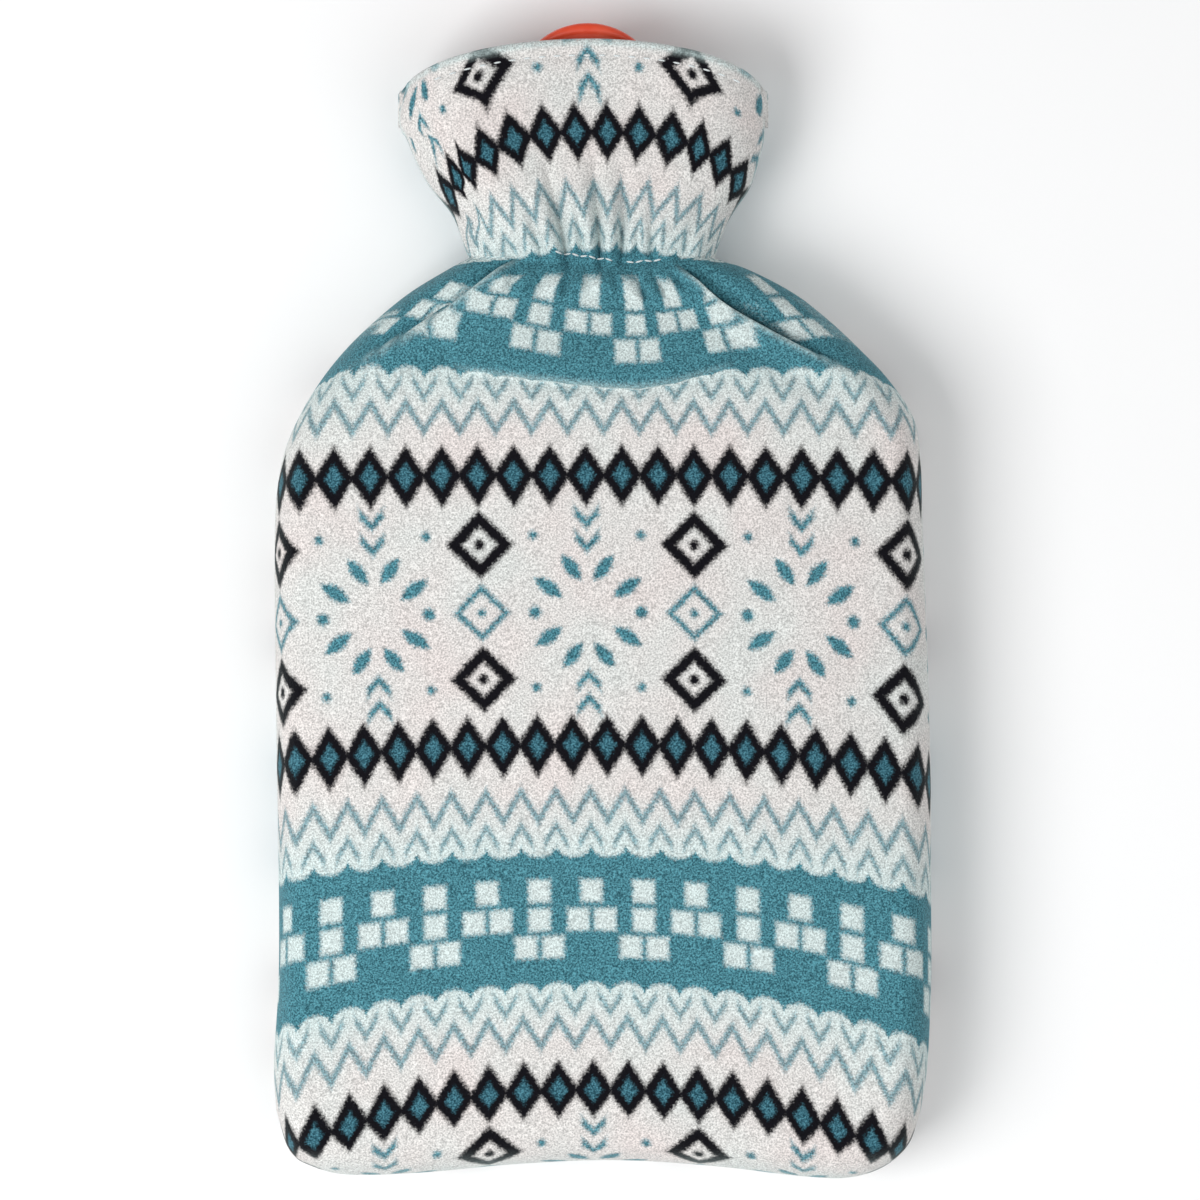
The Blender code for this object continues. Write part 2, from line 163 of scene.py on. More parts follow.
# The crest of each shoulder's tuck, from the neck to the side: x, y. The belly's cloth rides up
# over the strip that lies beyond it.
LEFT_TUCK = (
    (-24.0, 107.0), (-28.6, 103.6), (-35.2, 98.6), (-42.6, 92.8),
    (-55.3, 84.4), (-70.0, 76.4), (-83.0, 69.6),
)
RIGHT_TUCK = (
    (21.5, 105.0), (25.3, 101.0), (35.8, 91.2), (48.5, 83.6),
    (62.5, 76.4), (74.0, 72.2), (84.0, 68.8),
)
TUCK_SLOPE = 0.83       # from upright distance to distance across a tuck
TUCK_CREST = 1.7        # height of the roll along a tuck
TUCK_DEPTH = 6.0        # of the crease behind it
CREASE_SHARE = 0.40     # of that depth is a narrow crease, the rest is a long slope
TUCK_OVERLAP = 1.9      # how far the crest leans over the crease
TUCK_LEAN = (0.55, 0.83)    # outwards and up
TUCK_GROWTH = 8.0       # length in which a tuck grows out of the neck
TUCK_FADE = 0.55        # share of its length from where it runs out
# Under the elastic the band's cloth puffs out and hangs over the rows below it, along this line.
PUFF_EDGE = (
    (-58.0, 73.4), (-50.4, 73.0), (-41.1, 71.2), (-19.4, 68.7), (5.4, 66.3),
    (17.8, 67.0), (30.2, 69.9), (39.5, 72.3), (46.0, 73.2),
)
PUFF_CENTRE = -3.0
PUFF_HALF_WIDTH = 44.0
PUFF_FADE = 0.7         # power with which the puff runs out to the sides
PUFF_RISE = 2.1
PUFF_HOLLOW = 1.1       # depth of the hollow under its edge
PUFF_LEAN = 1.3         # how far its edge hangs down
PUFF_OVERHANG = 6.3     # cloth hidden under the puff's edge
PUFF_SHIFT_CENTRE = 7.0     # where the drawn-in band hangs lowest
PUFF_SHIFT_WIDTH = 31.0
PUFF_SHIFT_END = (90.0, 106.0)  # the hidden cloth is made up for between these heights
BACK_DRAW = (1.5, 3.6)      # how far the elastic lifts the back, and over what width
PLEAT_HEIGHT = 2.6          # of the back's small pleats beside the elastic
PLEAT_WAVE = 1.45
PLEAT_REACH = 11.0
BACK_SHIFT = (9.0, -28.6)   # where on the cloth the back was cut
BACK_GATHERED = (0.72, 17.0)    # extra cloth that the back's elastic draws in, and its reach

# How the printed cloth lies on the front. For each row of the print: its height on the cloth,
# the height where its middle lies, how far it drops at the left and at the right, the power of
# that drop, where the repeat's middle lies, and how much the cloth is stretched across.
PRINT_ROWS = (
    # v, y, left drop, right drop, power, middle x, stretch
    (-200.0, -196.0, 16.0, 18.0, 1.9, -2.6, 0.985),
    (-168.0, -168.4, 17.0, 19.0, 2.0, -2.6, 0.985),
    (-147.4, -150.2, 20.3, 22.0, 2.2, -2.8, 0.985),
    (-94.4, -97.8, 10.6, 13.4, 2.0, -3.3, 0.98),
    (-41.4, -43.9, 6.4, 9.2, 2.2, -3.9, 0.978),
    (0.0, -3.2, 3.6, 4.6, 2.2, -4.4, 0.997),
    (41.4, 38.9, 1.8, 1.9, 2.2, -5.2, 1.016),
    (74.0, 70.8, -0.4, 0.0, 2.2, -5.2, 1.01),
    (94.4, 91.2, -23.0, 0.0, 2.2, -4.6, 1.0),
    (111.5, 105.9, 7.0, 6.0, 2.2, -1.5, 1.0),
    (117.4, 111.6, 15.0, 13.0, 2.2, -1.3, 1.0),
    (135.3, 130.6, 15.0, 12.0, 3.3, -2.8, 1.0),
    (138.0, 135.6, 18.6, 14.4, 3.1, -3.0, 1.0),
    (147.4, 144.6, 19.5, 13.8, 3.0, -3.5, 1.0),
    (156.8, 153.6, 16.4, 12.4, 3.0, -4.0, 1.0),
    (160.3, 159.4, 14.6, 13.0, 3.1, -4.4, 1.0),
    (168.0, 168.4, 14.9, 14.8, 2.4, -4.7, 1.0),
    (180.0, 181.4, 14.9, 14.8, 2.4, -4.7, 1.0),
)
DROP_HALF_WIDTH = (98.0, 46.0)      # where those drops are reached, on the body and the collar
DROP_LIMIT = 1.25                   # they go on growing up to this share of it
# Upright lines of the cloth that the elastic draws together: u, then where each lies at the
# band's lower squares, its upper squares, the elastic, the zigzag, the diamonds and the hem.
GATHERED_LEVELS = (74.0, 86.3, 103.4, 112.0, 117.4, 135.3, 147.4, 168.0)
GATHERED_LINES = (
    # u, x at each level
    (-98.1, -103.0, -100.0, -78.0, -58.0, -58.0, -64.0, -66.0, -78.0),
    (-65.4, -70.8, -68.0, -57.0, -40.5, -41.0, -46.5, -49.0, -57.6),
    (-49.05, -54.3, -52.5, -44.5, -31.5, -32.0, -38.0, -42.4, -50.6),
    (-32.7, -37.9, -36.0, -31.0, -21.8, -21.8, -28.4, -32.1, -38.6),
    (-16.35, -21.5, -21.0, -17.6, -11.6, -11.5, -15.8, -17.5, -20.4),
    (0.0, -5.0, -4.3, -3.9, -2.0, -1.3, -2.9, -3.4, -4.7),
    (16.35, 11.6, 10.9, 9.8, 7.0, 7.4, 9.8, 11.4, 11.0),
    (32.7, 28.2, 25.0, 21.0, 15.8, 16.5, 23.5, 26.3, 27.7),
    (49.05, 43.0, 37.4, 33.0, 25.0, 26.0, 34.5, 36.4, 42.9),
    (65.4, 61.4, 57.0, 46.0, 34.0, 34.5, 43.0, 48.0, 57.0),
    (98.1, 94.6, 90.0, 72.0, 52.0, 52.0, 62.0, 72.0, 88.0),
)
GATHERED_BLEND = 4.0    # either side of the lowest level
COLLAR_LAP = ((-47.0, 144.0), (-37.4, 117.0))
LAP_SKIP = 4.5          # width of cloth hidden in the lap
LAP_EDGE = (0.3, 1.1)   # past the lap's line, where the print has skipped
LAP_HEIGHTS = (112.0, 118.0, 140.0, 146.0)
LAP_LIMIT = -30.0       # it lies to the left of this
# The strips beyond the tucks: a point x, y of each, the print's u and v there, the print's two
# directions over the strip, and the least and the most u that show with how fast the most
# nears up the strip.
LEFT_STRIP = ((-56.3, 90.4), (-69.6, 94.7), (0.70, -0.21), (0.70, 0.71), (62.0, 81.9, 0.55))
RIGHT_STRIP = ((56.9, 91.2), (81.75, 94.7), (0.83, 0.18), (-0.69, 0.82), (73.8, 89.9, 0.0))
STRIP_LEVELS = (77.5, 86.0, 109.0)     # least v that shows, where the most u starts to near, most v
STRIP_EDGE = (0.4, 1.3)     # past a tuck's crest, where the strip's print takes over
STRIP_HEIGHTS = (66.0, 76.0, 103.5, 106.5)

FRONT_GRID = (60, 84, 52, 168)     # rows in the collar, the shoulders and the trunk, and columns
BACK_GRID = (34, 40, 36, 84)
FRONT_TURNS = (0.0, 7.0, 14.0, 22.0, 31.0, 40.0, 49.0, 58.0, 67.0, 75.0, 83.0, 90.0)
BACK_TURNS = (0.0, 10.0, 22.0, 36.0, 50.0, 64.0, 78.0, 90.0)
PRINT_FLAT_TURN = 58.0      # nearer the face than this the print lies as seen from above
NORMAL_SOFTENING = 60       # rounds, so that the turned edge never crosses itself at a corner
LEVEL_NORMALS = (84.0, 104.0)    # from here up the edge turns in straight across
BOTTOM_REACH = 6            # the larger, the fewer rows bend with the bottom edge
CROWN_SHARE = 0.16          # of the length, over which the crown grows from the bottom edge

# The bottle's body: y, share of its full depth.
BOTTLE_BODY = (
    (-170.0, 0.30), (-168.5, 0.62), (-164.0, 0.86), (-155.0, 1.0), (-60.0, 1.0),
    (30.0, 1.0), (50.0, 1.0), (66.0, 0.98), (78.0, 0.94), (88.0, 0.88),
    (95.0, 0.80),
)
BOTTLE_CORNER = 14.0
BOTTLE_SHOULDERS = (30.0, 60.0)     # here the body starts to keep farther from the cover
SHOULDER_DROP = 2.5
BODY_SQUARENESS = 4.0       # exponent of the body's rounded section
FUNNEL_SQUARENESS = 2.2     # and of the neck's and the funnel's
# The neck and the funnel outside: y, half width, half depth.
FUNNEL = (
    (101.0, 17.0, 13.0),
    (108.0, 14.0, 12.6),
    (118.0, 14.5, 12.8),
    (134.0, 20.0, 13.2),
    (150.0, LIP_RADIUS, 13.6),
)
# Rings over the funnel's rolled rim: inset from its outside, share of the tongue's height.
LIP_RINGS = (
    (0.3, 0.80), (0.6, 0.87), (0.3, 0.895), (-0.1, 0.92), (-0.1, 0.955),
    (0.3, 0.985), (1.0, 1.0), (2.0, 1.0), (2.8, 0.985), (3.1, 0.95),
    (2.8, 0.91), (2.5, 0.86), (2.6, 0.6), (3.0, 0.0),
)
FLOOR_HALF_SIZES = (13.0, 9.6)
RING_POINTS = 72

# Where the elastic's stitches show: x, y of both ends.
ELASTIC_STITCHES = (((-14.7, 107.7), (3.3, 105.2)), ((7.2, 104.6), (18.4, 105.4)))
ELASTIC_STITCH = (2.6, 0.35, 0.22)      # length, height over the cloth, zigzag
HEM_STITCHES = (-52.0, 44.0, 4.6)       # from x to x, and from one to the next
HEM_STITCH = (2.6, 0.25, 0.0)
HEM_STITCH_DROP = 3.7       # under the hem
HEM_GROOVE = (0.55, 1.0)    # depth and width of the groove that they pull in
STITCH_GAPS = (0.06, 0.13)  # bare at its two ends, as shares of a stitch
STITCH_ARCH = (0.0, 0.75, 1.0, 0.75, 0.0)
THREAD = 0.56
THREAD_SIDES = 8

# The print, on the flat cloth.
PITCH = 10.9                # from diamond to diamond
REPEAT_WIDE = 6 * PITCH
REPEAT_LONG = 188.8
ROW = 41.4                  # from the panel's middle to a row of diamonds
DIAMOND = (6.6, 9.9)        # half width and half height
DEEP_INSET = 3.2            # from a diamond's edge to its teal heart
ZIGZAG = (22.7, -17.6 / PITCH, 1.95)    # height over the row, slope, stroke
ARMS = (24.3, 1.55, 1.5)    # the short V over every other turn of the zigzag
ARM_REACH = 3.7             # half width of such a V, and of the chevrons
SCALLOP = (3.6, 30.0)       # height of the band's scallops, and of their feet over the row
SQUARE = 6.7
SQUARE_ROUNDING = 0.8
SQUARE_PAIR = 4.2           # from a motif's middle line to its paired squares
# Each motif of the band: x, heights of its middle squares, height of its paired squares.
BAND_MOTIFS = ((REPEAT_WIDE / 4, (9.0, 0.3), -8.1), (0.0, (9.0,), 0.3))
# Between the rows of diamonds, with heights from the panel's middle.
LOZENGE_HEIGHT = 20.5
BLACK_LOZENGE = (10.5, 3.8)     # half width, stroke
TEAL_LOZENGE = (8.8, 1.9)
BLACK_DOT = 1.7
TEAL_DOT = 1.3
QUARTER_DOTS = ((0.0, 1.9), (23.3, 1.4))    # height, radius
# Petals: middle, length, width, angle.
PETALS = (
    ((4.9, 13.4), 9.8, 4.2, 52.0),
    ((12.1, 7.5), 10.4, 4.3, 34.0),
)
CHEVRONS = (19.2, 26.6)         # heights
CHEVRON_LINE = (1.1, 2.1)       # slope, stroke
BLUR = {"thin": 0.9, "full": 1.0, "bare": 1.1, "black": 0.95, "deep": 0.8}
TINT_RANGE = (-19.0, -2.0)      # the ground turns to mint over this distance to the band
TINT_SHARE = 0.72
THIN_SHARE = 0.76               # how well each ink covers
FULL_SHARE = 0.97
TIP_PULL = 3.4                  # by how much the fibres' noise moves the print
PATCH_SIZE = 34.0               # of the warmer ground
SPECKLE = (0.60, 1.24)          # darkest and lightest fibres

# From here on sizes are in metres: the rubber's bloom and grain, the thread's plies, the stage.
RUBBER_BLOOM = 0.009
RUBBER_GRAIN = 0.0007
PLY_WAVE = 0.0016               # its bands stand a third of that apart
FLOOR_SIZE = 6.0
FLOOR_GAP = 0.0004              # the cloth's fibres hold the cover just off the floor
LIGHTS = (
    # name, place, width of the light, share of the key's power
    ("key", (-1.05, -0.5, 1.5), 1.1, 1.0),
    ("fill", (1.1, -0.3, 1.8), 1.8, 0.42),
)
CAMERA = (-0.0008, 0.0005, 2.025)   # straight above the cover
SENSOR = 36.0                   # in millimetres, and the lens too
LENS = 193.5
SIGHT = 20.0


def hex_colour(code):
    """An sRGB hex value as linear red, green, blue and full alpha."""
    parts = [int(code[k:k + 2], 16) / 255.0 for k in (1, 3, 5)]
    linear = [p / 12.92 if p <= 0.04045 else ((p + 0.055) / 1.055) ** 2.4 for p in parts]
    return (*linear, 1.0)


# ---------------------------------------------------------------- lines and tables

def spline(points, pieces=12):
    """Catmull-Rom curve through the points, as a fine polyline."""
    knots = np.array(points, dtype=float)
    padded = np.vstack((2 * knots[0] - knots[1], knots, 2 * knots[-1] - knots[-2]))
    curve = []
    for a, b, c, d in zip(padded, padded[1:], padded[2:], padded[3:]):
        for t in np.arange(pieces) / pieces:
            curve.append(0.5 * (2 * b + (c - a) * t + (2 * a - 5 * b + 4 * c - d) * t ** 2
                                + (3 * b - a - 3 * c + d) * t ** 3))
    curve.append(knots[-1])
    return np.array(curve)


def spread(line, count):
    """The polyline again as count equal steps."""
    steps = np.linalg.norm(np.diff(line, axis=0), axis=1)
    length = np.concatenate(((0.0,), np.cumsum(steps)))
    wanted = np.linspace(0.0, length[-1], count + 1)
    return np.column_stack([np.interp(wanted, length, line[:, k]) for k in range(2)])


def column(table, index, y):
    """One column of a table whose first column is y, smooth between its rows."""
    line = spline([(row[0], row[index]) for row in table])
    order = np.argsort(line[:, 0])
    return np.interp(y, line[order, 0], line[order, 1])


def along_line(points, x):
    """y of a smooth line through the points, at x, and level past its ends."""
    line = spline(points)
    return np.interp(x, line[:, 0], line[:, 1])


def edge(table, index):
    """One side edge from a table of edges, as a polyline of x and y."""
    return spline([(row[index], row[0]) for row in table])


def inward(line):
    """Unit normals of the outline, pointing into the cover and turning softly at its corners."""
    tangent = np.gradient(line, axis=0)
    tangent[0] = (0.0, -1.0)
    tangent[-1] = (0.0, 1.0)
    normal = np.column_stack((-tangent[:, 1], tangent[:, 0]))
    normal /= np.linalg.norm(normal, axis=1)[:, None]
    normal[:, 1] *= 1.0 - smooth_step(line[:, 1], *LEVEL_NORMALS)
    for _ in range(NORMAL_SOFTENING):
        normal[1:-1] = 0.25 * normal[:-2] + 0.5 * normal[1:-1] + 0.25 * normal[2:]
    return normal / np.linalg.norm(normal, axis=1)[:, None]


def smooth_step(value, start, end):
    """0 up to start, 1 from end on, soft between."""
    share = np.clip((value - start) / (end - start), 0.0, 1.0)
    return share * share * (3.0 - 2.0 * share)


def plateau(value, opening, opened, closing, closed):
    """1 between opened and closing, and softly down to 0 at the two outer values."""
    return smooth_step(value, opening, opened) * (1.0 - smooth_step(value, closing, closed))


def bell(value, centre, width):
    """1 at the centre, falling softly to both sides."""
    return np.exp(-((value - centre) / width) ** 2)


# ---------------------------------------------------------------- the cover's shape

def side(index, collar_rows, shoulder_rows, trunk_rows):
    """One side of the outline from the hem down, without its last point."""
    collar = edge(COLLAR_EDGES, index)
    body = edge(BODY_EDGES, index)
    shoulder = body[body[:, 1] >= SHOULDER_END]
    trunk = body[body[:, 1] <= SHOULDER_END]
    return np.vstack((spread(collar, collar_rows)[:-1], spread(shoulder, shoulder_rows)[:-1],
                      spread(trunk, trunk_rows)[:-1]))


def outline(rows, columns):
    """The sewn edge from the hem's left end round the bottom to its right end."""
    bottom = spread(spline(BOTTOM_EDGE), columns)
    return np.vstack((side(1, *rows), bottom, side(2, *rows)[::-1]))


def bow(x, y):
    """Lifts the collar's middle, so that the hem is an arc."""
    _, left, right = COLLAR_EDGES[0]
    half = np.where(x < COLLAR_CENTRE, COLLAR_CENTRE - left, right - COLLAR_CENTRE)
    across = np.clip(np.abs(x - COLLAR_CENTRE) / half, 0.0, 1.0)
    along = np.clip((y - ELASTIC) / (HEM_HEIGHT - ELASTIC), 0.0, 1.0)
    return y + HEM_BOW * (1.0 - across ** 2) ** HEM_ROUNDNESS * along


def hem_line(x):
    """y of the hem at x."""
    return bow(x, np.full_like(x, HEM_HEIGHT))


def patch(edges, rows, columns):
    """Grid inside four edges. The rounded bottom edge bends only the rows near it."""
    left, right, top, bottom = edges
    v = np.linspace(0.0, 1.0, rows + 1)[:, None, None] ** BOTTOM_REACH
    u = np.linspace(0.0, 1.0, columns + 1)[None, :, None]
    sides = (1 - u) * left[:, None] + u * right[:, None]
    ends = (1 - v) * top[None] + v * bottom[None]
    corners = ((1 - v) * ((1 - u) * left[0] + u * right[0])
               + v * ((1 - u) * left[-1] + u * right[-1]))
    return sides + ends - corners


def beside(x, y, start, end):
    """Distance along a segment as a share of it, and the distance to its left."""
    run = np.subtract(end, start)
    length = np.hypot(*run)
    along = ((x - start[0]) * run[0] + (y - start[1]) * run[1]) / length ** 2
    aside = (run[0] * (y - start[1]) - run[1] * (x - start[0])) / length
    return along, aside


def taper(along, fade):
    """1 along a segment, falling softly to 0 past its two ends."""
    outside = np.maximum(-along, along - 1.0)
    return np.clip(1.0 - np.maximum(outside, 0.0) / fade, 0.0, 1.0) ** 2


def beyond_tuck(x, y, crest):
    """How far a point lies past a tuck's crest, towards the seam, and how deep the tuck is there."""
    past = (y - along_line(sorted(crest), x)) * TUCK_SLOPE
    span = crest[-1][0] - crest[0][0]
    from_neck = (x - crest[0][0]) * math.copysign(1.0, span)
    return past, plateau(from_neck, 0.0, TUCK_GROWTH, TUCK_FADE * abs(span), abs(span))


def puff_strength(x):
    """How much the band puffs out over the rows below it."""
    return np.clip(1.0 - ((x - PUFF_CENTRE) / PUFF_HALF_WIDTH) ** 2, 0.0, 1.0) ** PUFF_FADE


def gather(x, y):
    """Height of the gathers: a sharp trough with a soft ridge at either side."""
    height = np.zeros_like(x)
    for x0, y0, x1, y1, depth, width in GATHERS:
        along, aside = beside(x, y, (x0, y0), (x1, y1))
        opened = width * (1.0 + GATHER_OPENING * np.clip(1.0 - along, 0.0, 1.2))
        trough = np.exp(0.3 - np.sqrt((aside / opened) ** 2 + 0.09))
        ridge = bell(aside, 0.0, RIDGE_WIDTH * opened)
        strength = depth * taper(along, 0.35) * smooth_step(along, -0.3, 0.75)
        height += (RIDGE_HEIGHT * ridge - trough) * strength
    for x0, y0, x1, y1, depth, width in HOLLOWS:
        along, aside = beside(x, y, (x0, y0), (x1, y1))
        height -= depth * bell(aside, 0.0, width) * taper(along, 0.5)
    return height


def folds(x, y):
    """Height that the front's gathers, tucks, puff and drawn-in neck add."""
    height = gather(x, y)
    for crest in (LEFT_TUCK, RIGHT_TUCK):
        past, strength = beyond_tuck(x, y, crest)
        roll = TUCK_CREST * bell(past, -1.2, 3.4) * smooth_step(-past, -1.0, 0.6)
        slope = 1.0 - smooth_step(past, 1.2, 11.0)
        crease = CREASE_SHARE * bell(past, 0.8, 1.1) + (1.0 - CREASE_SHARE) * slope
        height += (roll - TUCK_DEPTH * crease * smooth_step(past, -0.6, 0.9)) * strength
    over = y - along_line(PUFF_EDGE, x)
    swell = plateau(over, -0.6, 1.4, 5.0, 22.0)
    height += (PUFF_RISE * swell - PUFF_HOLLOW * bell(over, -1.6, 2.2)) * puff_strength(x)
    from_middle = (x - COLLAR_CENTRE) / ELASTIC_SAG_REACH
    line = ELASTIC - ELASTIC_SAG * np.clip(1.0 - from_middle ** 2, 0.0, 1.0)
    height -= ELASTIC_DEPTH * bell(y, line, ELASTIC_WIDTH)
    height -= ELASTIC_GROOVE[0] * bell(y, line, ELASTIC_GROOVE[1])
    height -= HEM_GROOVE[0] * bell(hem_line(x) - y, HEM_STITCH_DROP, HEM_GROOVE[1])
    return height + ripples(x, y)


def ripples(x, y):
    """Slight unevenness of soft cloth over a filled bottle."""
    wave = np.sin(x / 11.3 + 0.6 * np.sin(y / 17.0)) * np.sin(y / 14.1 + 1.3)
    wave += 0.7 * np.sin(x / 6.1 + y / 9.7 + 0.8) * np.sin(y / 23.0 - x / 31.0)
    return RIPPLE * wave


def lean(x, y):
    """How far folded cloth leans over: the tucks' crests up and outwards, the puff down."""
    shift_x = np.zeros_like(x)
    shift_y = np.zeros_like(x)
    for crest, outwards in ((LEFT_TUCK, -1.0), (RIGHT_TUCK, 1.0)):
        past, strength = beyond_tuck(x, y, crest)
        amount = TUCK_OVERLAP * bell(past, -0.6, 1.5) * strength
        shift_x += TUCK_LEAN[0] * outwards * amount
        shift_y += TUCK_LEAN[1] * amount
    over = y - along_line(PUFF_EDGE, x)
    shift_y -= PUFF_LEAN * bell(over, 0.9, 1.5) * puff_strength(x)
    return shift_x, shift_y


def unfolded(x, y):
    """No lean: the back's cloth isn't folded over."""
    return np.zeros_like(x), np.zeros_like(y)


def crown_shares(rows, columns):
    """How much of the crown each point of the face takes: none along its edge."""
    across = 1.0 - np.linspace(-1.0, 1.0, columns + 1) ** 2
    along = np.minimum(1.0, np.arange(rows, -1, -1) / (CROWN_SHARE * rows))
    return smooth_step(along, 0.0, 1.0)[:, None] * across[None]


def front_height(x, y, turn, crown_share):
    """Height of the front over the floor, where turn is 0 at the seam and 90 on the face."""
    lift = np.sin(np.radians(turn))
    rise = column(FULLNESS, 1, y) * lift
    crown = column(FULLNESS, 4, y) * crown_share
    return SEAM_HEIGHT + SEAM_GAP / 2 + SEAM_STAND + rise + crown + folds(x, y) * lift ** 2


def back_height(x, y, turn, _):
    """Height of the back over the floor, flat on it under the whole body, without a crown."""
    lift = np.sin(np.radians(turn))
    share = np.where(y < FLAT_BELOW, 1.0, np.minimum(column(FULLNESS, 2, y), 1.0))
    neck = np.exp(-np.abs(y - ELASTIC) / PLEAT_REACH) * smooth_step(y, 82.0, 100.0)
    pleats = 0.5 + 0.5 * np.sin(x / PLEAT_WAVE + 1.1 * np.sin(x / 5.0) + 0.05 * (y - ELASTIC))
    drawn = BACK_DRAW[0] * bell(y, ELASTIC, BACK_DRAW[1]) + PLEAT_HEIGHT * pleats ** 2 * neck
    return (SEAM_HEIGHT - SEAM_GAP / 2 - SEAM_STAND) * (1.0 - share * lift) + drawn * lift ** 2


# ---------------------------------------------------------------- how the printed cloth lies

def between(levels, values, wanted):
    """Straight lines between columns of levels, which run on past both ends."""
    result = np.zeros(np.shape(wanted))
    last = len(levels) - 2
    for k in range(last + 1):
        share = (wanted - levels[k]) / (levels[k + 1] - levels[k])
        inside = ((share >= 0.0) | (k == 0)) & ((share < 1.0) | (k == last))
        result = np.where(inside, values[k] + share * (values[k + 1] - values[k]), result)
    return result


def front_print(x, y):
    """u and v of the printed cloth at a place on the belly or the collar."""
    pulled = 1.0 - smooth_step(y, *PUFF_SHIFT_END)
    shift = PUFF_OVERHANG * bell(x, PUFF_SHIFT_CENTRE, PUFF_SHIFT_WIDTH) * pulled
    over = y - along_line(PUFF_EDGE, x)
    y_flat = y + shift * smooth_step(over, -0.9, 0.5)
    heights = []
    for v, middle, left_drop, right_drop, power, centre, _ in PRINT_ROWS:
        half = DROP_HALF_WIDTH[0] if v < ELASTIC else DROP_HALF_WIDTH[1]
        aside = x - centre
        drop = np.where(aside < 0.0, left_drop, right_drop)
        heights.append(middle - drop * np.minimum(np.abs(aside) / half, DROP_LIMIT) ** power)
    levels, _, _, _, _, centres, stretches = zip(*PRINT_ROWS)
    v_here = between(heights, levels, y_flat)
    u_body = (x - np.interp(v_here, levels, centres)) / np.interp(v_here, levels, stretches)
    lines = [np.interp(v_here, GATHERED_LEVELS, line[1:]) for line in GATHERED_LINES]
    u_collar = between(lines, [line[0] for line in GATHERED_LINES], x)
    lowest = GATHERED_LEVELS[0]
    blend = smooth_step(v_here, lowest - GATHERED_BLEND, lowest + GATHERED_BLEND)
    return u_body * (1.0 - blend) + u_collar * blend, v_here


def strip_print(x, y, chart):
    """u and v of the printed cloth on a strip beyond a tuck."""
    (x0, y0), (u0, v0), along, up, (nearest, farthest, nearing) = chart
    spread_by = along[0] * up[1] - along[1] * up[0]
    u = u0 + ((x - x0) * up[1] - (y - y0) * up[0]) / spread_by
    v = v0 + ((y - y0) * along[0] - (x - x0) * along[1]) / spread_by
    lowest, level, highest = STRIP_LEVELS
    v = np.clip(v, lowest, highest)
    far = farthest - nearing * np.maximum(v - level, 0.0)
    return np.sign(u0) * np.clip(np.sign(u0) * u, nearest, far), v


def print_place(x, y):
    """u and v anywhere on the front: the strips beyond the tucks have a lie of their own."""
    u, v = front_print(x, y)
    for crest, chart in ((LEFT_TUCK, LEFT_STRIP), (RIGHT_TUCK, RIGHT_STRIP)):
        past, _ = beyond_tuck(x, y, crest)
        outwards = np.abs(x) > abs(crest[1][0])
        share = smooth_step(past, *STRIP_EDGE) * plateau(y, *STRIP_HEIGHTS) * outwards
        u_strip, v_strip = strip_print(x, y, chart)
        u = u + (u_strip - u) * share
        v = v + (v_strip - v) * share
    # The collar's cloth laps over itself at the left, which skips a piece of its print.
    _, aside = beside(x, y, *COLLAR_LAP)
    lapped = smooth_step(-aside, *LAP_EDGE) * plateau(y, *LAP_HEIGHTS) * (x < LAP_LIMIT)
    return u - LAP_SKIP * lapped, v


def parted_pile_and_painted_sheen(x, y, turn):
    """Pale mint over sharply turned edges and along fold crests. Beside the seam and along the bottom
    it is painted sheen, where the edge is seen edge-on from above. On the hem, the puff's edge and the
    tucks' crests it is partly the pile parting to its pale fibre bases and partly a painted highlight.
    """
    # Painted sheen: the steep turned edge beside the seam is seen edge-on from above and is drawn pale
    # mint.
    beside_seam = 0.6 * (1.0 - smooth_step(turn, 3.0, 15.0))
    bottom = 0.24 * smooth_step(-y, 168.0, 179.0)
    puff = 0.5 * bell(y - along_line(PUFF_EDGE, x), 0.6, 0.9) * puff_strength(x)
    hem = 0.7 * bell(hem_line(x) - y, 0.0, 0.9)
    shares = [beside_seam, bottom, puff, hem]
    for crest in (LEFT_TUCK, RIGHT_TUCK):
        past, strength = beyond_tuck(x, y, crest)
        shares.append(0.75 * bell(past, -0.4, 0.8) * strength)
    return np.maximum.reduce(shares)


def back_print(x, y):
    """u and v on the back, which was cut from another height of the cloth."""
    drawn = 1.0 + BACK_GATHERED[0] * bell(y, ELASTIC, BACK_GATHERED[1])
    return x * drawn + BACK_SHIFT[0], y + BACK_SHIFT[1]


# ---------------------------------------------------------------- building the pieces

def add_piece(name, points, faces, material, slot):
    """A mesh object, shaded smooth, that rides on the frame."""
    data = bpy.data.meshes.new(name)
    data.from_pydata([tuple(c * MM for c in p) for p in points], [], faces)
    data.update()
    data.shade_smooth()
    data.materials.append(material)
    piece = bpy.data.objects.new(name, data)
    bpy.context.scene.collection.objects.link(piece)
    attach(piece, "root")
    return piece


def turned_arc(width, rise, turn):
    """Extra length of cloth that the turned edge holds, past what shows from above."""
    steps = np.radians(np.linspace(PRINT_FLAT_TURN, turn, 24))
    run = np.hypot(np.diff(np.cos(steps))[None] * width[:, None],
                   np.diff(np.sin(steps))[None] * rise[:, None]).sum(axis=1)
    seen = width * abs(math.cos(math.radians(turn)) - math.cos(math.radians(PRINT_FLAT_TURN)))
    return np.where(turn < PRINT_FLAT_TURN, run - seen, 0.0)


